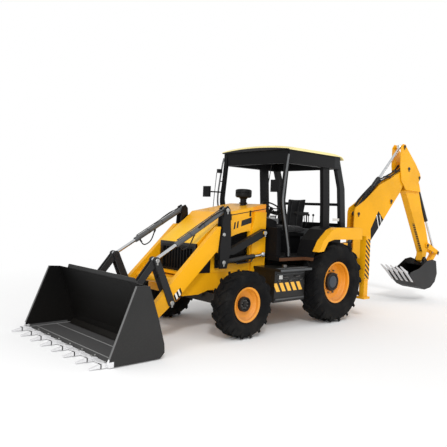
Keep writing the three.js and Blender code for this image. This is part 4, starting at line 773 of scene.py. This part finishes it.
def padding(name, form, stands_for=(), cap=0.006, moments=12):
    """Blows a form up a little as filled cloth: it is kept in Blender's cloth under pressure for
    some frames, and each point keeps shift * min(1, cap / length of the shift)."""
    piece = build(name, form, "chassis", cloth.material, stands_for=stands_for)
    start = places(piece.data)
    soft = piece.modifiers.new("cloth", "CLOTH")
    soft.settings.use_pressure = True
    soft.settings.uniform_pressure_force = 1.5
    soft.settings.effector_weights.gravity = 0.0
    soft.settings.tension_stiffness = soft.settings.compression_stiffness = 30.0
    soft.settings.bending_stiffness = 3.0
    for moment in range(moments):
        bpy.context.scene.frame_set(moment + 1)
    shift = places(piece.evaluated_get(bpy.context.evaluated_depsgraph_get()).to_mesh()) - start
    piece.modifiers.remove(soft)
    bpy.context.scene.frame_set(1)
    shift *= np.minimum(1.0, cap / np.maximum(np.linalg.norm(shift, axis=1, keepdims=True), 1e-9))
    piece.data.vertices.foreach_set("co", (start + shift).ravel())
    piece.data.update()
    finer = piece.modifiers.new("finer", "SUBSURF")
    finer.levels = finer.render_levels = 1


padding("seat_cushion", pillow((0.21, 0, 1.545), (1, 0, 0.03), (0, 0, 1), 0.47, 0.49, 0.12, 0.05),
        ["seat_cushions"])
BACK_LEAN = np.array((-0.14, 0, 1.0)) / math.hypot(0.14, 1.0)
padding("seat_back", pillow((-0.005, 0, 1.83), BACK_LEAN, (BACK_LEAN[2], 0, -BACK_LEAN[0]), 0.40, 0.52, 0.11,
                            0.06))

# ---------------------------------------------------------------- side boxes and steps
# Folded steel boxes under the doors: the left one holds the battery and tools, the right one the
# fuel. Each carries a ribbed step plate, yellow slanted stripes, a lid and a handle.
STRIPE_START, STRIPE_PITCH, STRIPE_LEAN = 1.064, 0.134, 0.60
BOX_FACE = 0.90     # the boxes' outer face, to either side


def box_stripes(x, y, z):
    """Five slanted stripes on the outer face: they repeat along start - (x - lean * z)."""
    run = STRIPE_START - (x - z * STRIPE_LEAN)
    face = (abs(abs(y) - BOX_FACE) < 0.005) * z.within(0.607, 0.742) * run.within(0.0, 0.62)
    return face * ((run / STRIPE_PITCH).math("FRACT") < 0.62)


side_box_paint = paint("side_box_paint", BLACK, 0.30, marks=[(box_stripes, (0.93, 0.50, 0.06))],
                       dusty=0.12, gloss=0.3)
dress(side_box_paint, "toolbox_left", "fuel_tank_right")
step_metal = paint("step_metal", (0.10, 0.105, 0.11), 0.35, dusty=0.3, metal=0.5)
steps = [block(0.75, 1.49, 1.012, 1.034, 0.934, 0.966), block(0.80, 1.44, 0.9005, 0.912, 0.872, 0.884),
         block(0.80, 1.44, 0.9005, 0.908, 0.790, 0.797), block(0.78, 1.46, 0.9005, 0.918, 0.478, 0.50)]
steps += [block(0.76, 1.48, y, y + 0.007, 0.9705, 0.976) for y in 0.915 + 0.019 * np.arange(5)]
build("box_steps", both(together(*steps)), "chassis", step_metal, edge=0.003)
handles = [tube(through([(x, 0.90, 0.83), (x + 0.01, 0.925, 0.832), (x + 0.10, 0.925, 0.832),
                         (x + 0.11, 0.90, 0.83)]), 0.007, 8) for x in (0.9, 1.18)]
hinges = [turned([(0, -0.03), (0.009, -0.03), (0.009, 0.03), (0, 0.03)], (x, 0.9085, 0.775), (1, 0, 0), 10)
          for x in (0.86, 1.12, 1.38)]
build("box_handles", both(together(*handles, *hinges)), "chassis", nut_steel)
filler = [(0, 0), (0.034, 0), (0.036, 0.006), (0.036, 0.05), (0.03, 0.058), (0, 0.06)]
build("filler_caps", both(turned(filler, (1.30, 0.93, 0.9702), (0, 0, 1), 28)), "chassis", nut_steel)
build("blank_plates", both(together(block(1.30, 1.38, 0.9003, 0.902, 0.80, 0.86),
                                    block(-0.32, -0.13, 0.7502, 0.7522, 1.722, 1.768))),
      "chassis", paint("white_plate", (0.72, 0.72, 0.70), 0.5, dusty=0.1))

# ---------------------------------------------------------------- loader arms and lever plates
# Two box arms of plate joined by a cross tube. The rear half of each arm and its upright lever
# plate are black; the front half is yellow, with three slanted black bars near its lower end.
BAR_START, BAR_WIDTH = 2.969, 0.033


def arm_bars(x, y, z, *which):
    """Some of the five slanted bands, numbered from 0, on the outer side of the arm's lower edge:
    band k lies where x - 0.475 * (z - 0.6) is k to k + 1 widths past the start."""
    lean = x - (z - 0.6) * 0.475 - BAR_START
    bands = sum(lean.within(BAR_WIDTH * k, BAR_WIDTH * (k + 1)) for k in which)
    return (abs(y) > 0.545) * ((z + x * 0.919) < 3.53) * bands


def arm_black(x, y, z):
    """Everything behind the lever plate's front edge, a slanting line, and the short bars."""
    return (((x + (z - 1.3) * 0.12) < 2.352) + arm_bars(x, y, z, 0, 2, 4)).math("MINIMUM", 1.0)


def arm_pale(x, y, z):
    """The white gaps between the short bars."""
    return arm_bars(x, y, z, 1, 3)


def arm_edge_highlight(x, y, z):
    """A painted highlight: a brighter stripe on the outer side along the upper edge."""
    return (abs(y) > 0.55) * (z + x * 0.895).within(3.63, 3.80) * x.within(2.33, 3.15)


# the brighter stripe along each arm's upper edge is a painted highlight
arm_paint = paint("arm_paint", YELLOW, marks=[
    (arm_edge_highlight, (0.95, 0.52, 0.04)), (arm_pale, (0.85, 0.83, 0.78)), (arm_black, BLACK)],
    dusty=0.22, gloss=0.2)
dress(arm_paint, "loader_arms")
link_black = paint("link_black", CHARCOAL, 0.45, dusty=0.1, gloss=0.2)
dress(link_black, *[f"tilt_{part}_{side_name}" for part in ("lever", "link") for side_name, side in SIDES])

# ---------------------------------------------------------------- rams
# Honed steel barrels with a welded base, a screwed gland and a hard pipe along the side, painted;
# the rods are ground and hard chromed, and end in a forged eye.
chrome = Finish("rod_chrome", Metallic=1.0)
smear = chrome.noise(26.0, 4.0, 0.6)
chrome.feed(Base_Color=smear.rise(0.3, 0.8).mix((0.62, 0.64, 0.66), (0.78, 0.79, 0.80)),
            Roughness=smear * 0.12 + 0.10)
ram_grey = paint("ram_grey", (0.085, 0.09, 0.095), 0.33, dusty=0.3)
ram_black = paint("ram_black", (0.014, 0.0145, 0.016), 0.3, dusty=0.25, gloss=0.35)
pipe_steel = paint("pipe_steel", (0.05, 0.052, 0.055), 0.3, dusty=0.2)
SWING_X, SWING = -1.40, math.radians(10)


def in_hoe(form):
    """Turns a form drawn straight back, s metres behind the swing axis as x = -s, about that axis
    into the backhoe's resting place."""
    return spun(form, -SWING, (SWING_X, 0, 0))


def placed(form, side):
    """The form on its side of the loader or, where it has no side, in the backhoe."""
    return (form[0] * (1, side, 1), form[1]) if side else in_hoe(form)


CHAMFER, PIPE = 0.004, 0.007


def eye_disc(at, radius, half):
    """A forged eye with its pin's flush end: a raised boss, a groove and the pin inside it."""
    c, pin = CHAMFER, 0.5 * radius
    side = [(radius, half - c), (radius - c, half), (pin + 0.004, half), (pin + 0.003, half - 0.003),
            (pin, half - 0.003), (pin, half), (0, half)]
    return turned([(r, -h) for r, h in reversed(side)] + side, at, (0, 1, 0), 32)


def eye_ring(at, radius, half, bore=0.0306):
    """A forged eye: a ring with chamfered edges round its pin."""
    c = CHAMFER
    return turned([(bore, -half), (radius - c, -half), (radius, -half + c), (radius, half - c),
                   (radius - c, half), (bore, half)], at, (0, 1, 0), 28, True)


def pipe_run(foot, way, normal, barrel, low, gland):
    """The hard pipe leaves the barrel near its base, lies along it and enters again at the gland:
    each point is a distance along the ram and a distance out from its middle line."""
    run = [(low + 0.05, barrel * 0.9), (low + 0.05, barrel + 0.012), (low + 0.09, barrel + 0.014),
           (gland - 0.12, barrel + 0.014), (gland - 0.075, barrel + 0.012), (gland - 0.075, barrel * 0.9)]
    clamps = [turned([(barrel, s), (barrel * 1.05, s), (barrel * 1.05, s + 0.02), (barrel, s + 0.02)],
                     foot, way, 32, True) for s in (gland * 0.45, gland * 0.72)]
    line = through([foot + way * far + normal * out for far, out in run], 4)
    return together(tube(line, PIPE, 8), *clamps)


GLOSS_BLACK, GREY = (ram_black, "black_paint"), (ram_grey, "grey_paint")
RAMS = [
    # stem, foot, eye, plane, barrel radius, rod radius, eye radius, half eye, the gland's and the rod's
    # inner end's distances from the foot, barrel's finish and slot, side of its pipe or 0 for none
    ("lift_ram", (2.26, 1.06), (1.36, 1.15), 0.51, 0.038, 0.024, 0.042, 0.020, 0.700, 0.255, GLOSS_BLACK, 0),
    ("tilt_ram", (2.22, 1.84), (3.46, 1.13), 0.51, 0.038, 0.024, 0.042, 0.020, 1.026, 0.314, GREY, 1),
    ("boom_ram", (-0.23, 1.22), (-1.38, 2.17), 0, 0.050, 0.032, 0.055, 0.050, 1.220, 0.245, GLOSS_BLACK, 0),
    ("dipper_ram", (-0.42, 1.87), (-1.70, 3.355), 0, 0.047, 0.028, 0.050, 0.047, 1.02, 0.72, GLOSS_BLACK, 1),
    ("bucket_ram", (-2.24, 2.722), (-3.04, 1.05), 0, 0.042, 0.025, 0.042, 0.025, 1.06, 0.60, GLOSS_BLACK, 0),
]
ram_lines = {}
for stem, foot, eye, plane, barrel, rod, eye_radius, eye_half, gland, inner, (coat, slot), pipe in RAMS:
    foot, eye = np.array((foot[0], plane, foot[1])), np.array((eye[0], plane, eye[1]))
    reach, low = np.linalg.norm(eye - foot), eye_radius + 0.008
    way = (eye - foot) / reach
    ram_lines[stem] = foot, way
    case = [(rod + 0.0006, low + 0.01), (0.6 * barrel, low), (barrel - 0.004, low + 0.002),
            (barrel, low + 0.01), (barrel, gland - 0.055), (barrel * 1.06, gland - 0.052),
            (barrel * 1.06, gland - 0.008), (barrel, gland), (rod + 0.004, gland),
            (rod + 0.0006, gland - 0.006)]
    stub = tube([foot + way * (eye_radius - 0.006), foot + way * (low + 0.012)],
                min(eye_half, eye_radius) * 0.92, 16)
    whole_barrel = together(turned(case, foot, way, 36, True), eye_ring(foot, eye_radius, eye_half), stub)
    shank = [(0, inner), (rod, inner), (rod, reach - eye_radius * 0.8), (0, reach - eye_radius * 0.8)]
    whole_rod = together(turned(shank, foot, way, 32), eye_disc(eye, eye_radius, eye_half))
    upward = np.cross(way, (0, 1, 0))
    upward *= np.sign(upward[2])
    barrel_body, rod_body = (stem.replace("ram", part) + "s" * (plane > 0) for part in ("barrel", "rod"))
    for name, side in ((("_left", 1), ("_right", -1)) if plane else (("", 0),)):
        build(f"{stem}_tube{name}", placed(whole_barrel, side), barrel_body, coat,
              stands_for=[f"{stem}_barrel{name}"])
        if pipe:
            build(f"{stem}_pipe{name}", placed(pipe_run(foot, way, upward, barrel, low, gland), side),
                  barrel_body, pipe_steel)
        build(f"{stem}_shaft{name}", placed(whole_rod, side), rod_body, chrome.material,
              stands_for=[f"{stem}_rod{name}"])

# ---------------------------------------------------------------- pivot pins
# Turned steel pins with a chamfered head and a grease nipple. A keeper plate with one bolt below
# each head stops the pin from turning; the loader's pins are bare, the backhoe's painted.
pin_steel = paint("pin_steel", (0.42, 0.42, 0.41), 0.32, dusty=0.15, metal=0.7)
pin_dark = paint("pin_dark", (0.02, 0.02, 0.02), 0.45, dusty=0.2)


def button(radius, height, wide=0.0, high=0.0):
    """The profile of a round head, with its rim cut back by wide and high."""
    return [(0, 0), (radius, 0), (radius, height - high), (radius - wide, height), (0, height)]


def pin_head(x, z, y, radius):
    """A chamfered disc on the pin's end, facing out, with a nipple, and a keeper plate below it."""
    disc = turned([(0, 0), (radius, 0), (radius, 0.006), (radius - 0.005, 0.010), (0.009, 0.010),
                   (0.008, 0.018), (0, 0.018)], (x, y, z), (0, 1, 0), 28)
    keeper = block(x - 0.012, x + 0.012, y, y + 0.005, z - radius - 0.028, z - radius + 0.006)
    return together(disc, keeper, turned(button(0.009, 0.009), (x, y, z - radius - 0.014), (0, 1, 0), 6))


LOADER_PINS = [
    # name, body, x, z, outer face, radius
    ("tower", "chassis", 1.38, 1.50, 0.5705, 0.033),
    ("arm_lift", "arms", 2.26, 1.06, 0.5785, 0.031),
    ("arm_tilt", "arms", 2.22, 1.84, 0.5785, 0.031),
    ("arm_lever", "arms", 3.19, 0.54, 0.5785, 0.031),
    ("arm_bucket", "arms", 3.60, 0.28, 0.5785, 0.031),
    ("lever_apex", "tilt_levers", 3.46, 1.13, 0.5815, 0.031),
]
HOE_PINS = [
    # name, body, s, z, outer face either side, radius
    ("boom_foot", "hoe_boom", 0.30, 0.72, 0.1062, 0.031),
    ("dipper_ram_foot", "hoe_boom", 0.42, 1.87, 0.1062, 0.032),
    ("boom_ram_eye", "hoe_boom", 1.38, 2.17, 0.1082, 0.036),
    ("dipper_pivot", "hoe_dipper", 1.88, 2.89, 0.1242, 0.038),
    ("dipper_ram_eye", "hoe_dipper", 1.70, 3.355, 0.1322, 0.034),
    ("bucket_ram_foot", "hoe_dipper", 2.24, 2.722, 0.1242, 0.030),
    ("guide_lever", "hoe_dipper", 2.67, 1.22, 0.1102, 0.031),
    ("hoe_bucket", "hoe_dipper", 2.57, 0.90, 0.1102, 0.031),
    ("guide_apex", "guide_lever", 3.04, 1.05, 0.1142, 0.031),
]
for name, body, x, z, y, radius in LOADER_PINS:
    build(f"{name}_pins", both(pin_head(x, z, y, radius)), body, pin_steel)
knee = turned(button(0.028, 0.018, 0.008, 0.006), (2.275, 0.573, 1.475), (0, 1, 0), 24)
build("arm_knee_studs", both(knee), "arms", pin_steel)
for name, body, s, z, y, radius in HOE_PINS:
    build(f"{name}_pins", in_hoe(both(pin_head(-s, z, y, radius))), body, pin_dark)

# ---------------------------------------------------------------- hoses on the rams and the boom
# Rubber hoses with crimped steel ends. Each run starts and ends on the same moving part, so it
# rides with that part. The loader's tilt barrels carry a sagging loop below their pipes.
hose_rubber = paint("hose_rubber", (0.012, 0.012, 0.013), 0.5, dusty=0.22, gloss=0.2)
THIN, THICK = 0.008, 0.0095     # radii of the hoses


def hose(points, radius=THIN):
    """A smooth run through given points, with a crimped sleeve at each end."""
    line = through(points, 6)
    sleeves = [turned(button(radius * 1.45, 0.052, radius * 0.35, 0.007), tip, ahead - tip, 10)
               for tip, ahead in ((line[0], line[1]), (line[-1], line[-2]))]
    return together(tube(line, radius, 8), *sleeves)


def beside(stem, *steps):
    """Points beside a ram: each is a distance along it from its foot, a step aside and a step up."""
    foot, way = ram_lines[stem]
    return [foot + way * far + (0, aside, up) for far, aside, up in steps]


loop = hose(beside("tilt_ram", (0.94, -0.02, -0.035), (0.86, -0.03, -0.15), (0.72, -0.03, -0.16),
                   (0.62, -0.02, -0.036)), THICK)
build("tilt_ram_hoses", both(loop), "tilt_barrels", hose_rubber)
sags = [hose(beside("lift_ram", (start, 0.012 * k, -0.034), (start + 0.05, 0.016 * k, -0.068),
                    (end - 0.05, 0.016 * k, -0.072), (end, 0.012 * k, -0.034)))
        for k, start, end in ((1, 0.30, 0.66), (-1, 0.33, 0.60))]
build("lift_ram_hoses", both(together(*sags)), "lift_barrels", hose_rubber)
feed = hose([(2.255, 0.543, 1.845), (2.45, 0.546, 1.765), (2.62, 0.544, 1.66), (2.74, 0.54, 1.572)])
build("tilt_feed_hoses", both(feed), "tilt_barrels", hose_rubber)

# the dipper ram's hoses stand up in loops beside its foot
loops = [hose([(-0.62 - d, 0.052, 2.12 + d * 1.1), (-0.58 - d, 0.085, 2.26 + d * 1.1),
               (-0.70 - d, 0.088, 2.38 + d * 1.1), (-0.80 - d, 0.052, 2.33 + d * 1.1)]) for d in (0.0, 0.09)]
build("dipper_ram_hoses", in_hoe(together(*loops)), "dipper_barrel", hose_rubber)
BOOM_RUN = [(-0.47, 2.03), (-0.62, 2.20), (-1.02, 2.53), (-1.33, 2.675), (-1.60, 2.815), (-1.76, 2.955)]
runs = [hose([(x, y, z + 0.012 + 0.006 * math.sin(3 * k + i)) for k, (x, z) in enumerate(BOOM_RUN)], THICK)
        for i, y in enumerate((-0.072, -0.045, 0.045, 0.072))]
build("boom_hoses", in_hoe(together(*runs)), "hoe_boom", hose_rubber)
clamps = [block(x - 0.018, x + 0.018, -0.092, 0.092, z + 0.001, z + 0.030) for x, z in BOOM_RUN[2:5]]
build("hose_clamps", in_hoe(together(*clamps)), "hoe_boom", pin_dark, edge=0.004)
feeds = [hose([(-0.487, y, 1.34), (-0.60, y, 1.35), (-0.84, y * 0.9, 1.24), (-1.05, y * 0.75, 1.36),
               (-1.165, y * 0.6, 1.292)], THICK) for y in (-0.24, -0.17, -0.10, 0.10, 0.17, 0.24)]
build("valve_hoses", together(*feeds), "chassis", hose_rubber)

# ---------------------------------------------------------------- loader bucket
# A wide bucket rolled from plate between two side plates, with a thick lip. Earth keeps the floor
# and the edges bare and wears the points bright; its inside is painted near black as painted shade.


def deep_in(a, b, outline):
    """How far a point lies inside a convex outline given in order, negative outside it."""
    depth = None
    for (a0, b0), (a1, b1) in zip(outline, outline[1:]):
        run = math.hypot(a1 - a0, b1 - b0)
        off = (a - a0) * ((b1 - b0) / -run) + (b - b0) * ((a1 - a0) / run)
        depth = off if depth is None else depth.math("MINIMUM", off)
    return depth


SHOVEL_BACK = [(3.985, 0.905), (3.85, 0.53), (3.745, 0.19), (3.735, 0.08), (3.80, 0.015), (4.60, 0.015)]


def shovel_inside_shaded(x, y, z):
    """The faces that hold the load, painted near black as painted shade in the bowl."""
    return (abs(y) < 1.169) * (deep_in(x, z, SHOVEL_BACK) > 0.012)


def shovel_floor(x, y, z):
    """The floor's scoured part."""
    return shovel_inside_shaded(x, y, z) * (z < 0.075) * (x > 3.85)


def shovel_edge(x, y, z):
    """The rubbed front edge of each side plate."""
    front = (x + (z - 0.06) * 0.4094) > 4.513
    return (abs(y) > 1.15) * front * (z > 0.05)


def tooth_gap(x, y, z):
    """The dark joint between each adapter and its point."""
    return (x.within(4.572, 4.588) + x.within(4.425, 4.44)) * (z < 0.085)


def shovel_teeth(x, y, z):
    """The adapters and points, ground bright."""
    return ((x > 4.43) * (z < 0.078)).either((x > 4.50) * (z < 0.2))


# the near-black inside is painted shade; the scoured floor, rubbed edges and bright points are wear
bucket_steel = paint("bucket_steel", (0.026, 0.026, 0.026), 0.5, marks=[
    (shovel_inside_shaded, (0.002, 0.002, 0.002)), (shovel_floor, (0.075, 0.075, 0.076)),
    (shovel_edge, (0.13, 0.13, 0.13)), (shovel_teeth, (0.66, 0.66, 0.67)),
    (tooth_gap, (0.03, 0.03, 0.03))], dusty=0.06, gloss=0.15)
dress(bucket_steel, "loader_bucket")
weld = paint("weld_bead", (0.33, 0.33, 0.33), 0.4, dusty=0.2, metal=0.5)
BEAD, BEAD_REACH = 0.006, 1.15
seams = [turned([(0, -BEAD_REACH), (BEAD, -BEAD_REACH), (BEAD, BEAD_REACH), (0, BEAD_REACH)], (x, 0, 0.0375),
                (0, 1, 0), 10) for x in (4.025, 4.33)]
seams += [tube([(3.80, y, 0.041), (4.45, y, 0.041)], BEAD, 8) for y in (-1.152, 1.152)]
build("bucket_welds", together(*seams), "front_bucket", weld)
TOOTH_REACH, TEETH = 1.107, 8
bolts = [turned(button(0.013, 0.010, 0.004, 0.004), (x, y, 0.0705), (0, 0, 1), 8)
         for y in np.linspace(-TOOTH_REACH, TOOTH_REACH, TEETH) for x in (4.462, 4.508)]
build("tooth_bolts", together(*bolts), "front_bucket", pin_steel)

# ---------------------------------------------------------------- rear frame and stabilisers
# A welded cross frame with a square housing at each end, in which a leg slides down on its ram.
# Slanted warning stripes run up the outer face of each housing.
BAND_PITCH, CAP_RING = 0.0856, 0.04


def leg_stripes(x, y, z):
    """Slanted black bands on the housing's outer face, half as high as their pitch up the face."""
    slope = (z - x * 0.8) / BAND_PITCH
    return (abs(y) > 1.0485) * (slope.math("FRACT") < 0.5) * z.within(0.70, 1.42)


caps = []
for z, out in ((1.2152, 1), (0.4348, -1)):
    caps.append(turned(button(0.058, 0.016, 0.006, 0.006), (SWING_X, 0, z), (0, 0, out), 32))
    for a in np.arange(4) * math.pi / 2 + 0.6:
        bolt_at = (SWING_X + CAP_RING * math.cos(a), CAP_RING * math.sin(a), z + out * 0.016)
        caps.append(turned(button(0.010, 0.008), bolt_at, (0, 0, out), 6))
build("swing_pin_caps", together(*caps), "chassis", pin_dark)
frame_yellow = paint("rear_frame_paint", YELLOW, marks=[(leg_stripes, BLACK)], dusty=0.22, gloss=0.2)
dress(frame_yellow, "rear_frame")
dress(yellow_paint, "stabiliser_leg_left", "stabiliser_leg_right")

# ---------------------------------------------------------------- swing post, boom and dipper
# The cast post turns between the frame's lugs. The boom is two deep flanks with webs between
# them; the dipper is a box beam whose forked head takes the boom's tip.


def behind(x, y):
    """Distance behind the swing axis and to the left of the backhoe's own middle plane."""
    c, s = math.cos(SWING), math.sin(SWING)
    return (x - SWING_X) * -c + y * s, (x - SWING_X) * s + y * c


BOOM_FACE = 0.0985     # just inside the boom's flanks


def boom_patch(x, y, z):
    """A four-cornered black patch on each flank."""
    s, side = behind(x, y)
    return (abs(side) > BOOM_FACE) * (deep_in(s, z, [
        (0.794, 1.564), (0.814, 1.272), (1.199, 1.729), (1.006, 1.945), (0.794, 1.564)]) > 0.0)


def boom_lines(x, y, z):
    """Two pale lines across the patch."""
    s, side = behind(x, y)
    lean = s + (z - 1.7) * 0.311
    lines = lean.within(0.996, 1.018) + lean.within(1.093, 1.113)
    return (abs(side) > BOOM_FACE) * lines * z.within(1.50, 1.86)


def dipper_strip(x, y, z):
    """A ribbed dark strip along the near half of the beam's lower front face."""
    s, side = behind(x, y)
    ribs = ((z + s * 0.3) / 0.034).math("FRACT") < 0.72
    front = abs(s + (z - 1.59) * 0.4953 - 2.265) < 0.006
    return front * side.within(0.012, 0.079) * z.within(1.08, 1.70) * ribs


dress(paint("boom_paint", YELLOW, marks=[(boom_patch, BLACK), (boom_lines, (0.85, 0.84, 0.80))],
            dusty=0.18, gloss=0.2), "boom")
dress(paint("dipper_paint", YELLOW, marks=[(dipper_strip, (0.02, 0.018, 0.014))], dusty=0.18, gloss=0.2),
      "dipper")
dress(yellow_paint, "hoe_guide_lever", "hoe_bucket_link")
dress(black_paint, "swing_post")

# ---------------------------------------------------------------- backhoe bucket
# A narrow digging bucket with five points, rolled from plate round its hinge between two side
# plates. Outside it is grey with wear, its inside is black, and the points are worn bright.
HOE_SHELL = [(1.862, 0.578), (2.005, 0.44), (2.17, 0.322), (2.37, 0.255), (2.57, 0.295), (2.715, 0.42),
             (2.777, 0.60), (2.728, 0.88)]


def hoe_inside(x, y, z):
    """The faces that hold the load."""
    s, side = behind(x, y)
    return (abs(side) < 0.290) * (deep_in(s, z, HOE_SHELL) > 0.010)


def hoe_points(x, y, z):
    """The worn ends of the teeth."""
    s, side = behind(x, y)
    return (s < 1.80).either((s < 1.99) * (deep_in(s, z, HOE_SHELL) < -0.012))


hoe_steel = paint("hoe_steel", (0.038, 0.038, 0.039), 0.5, marks=[
    (hoe_inside, (0.002, 0.002, 0.002)), (hoe_points, (0.60, 0.60, 0.61))], dusty=0.08, gloss=0.15)
dress(hoe_steel, "hoe_bucket")
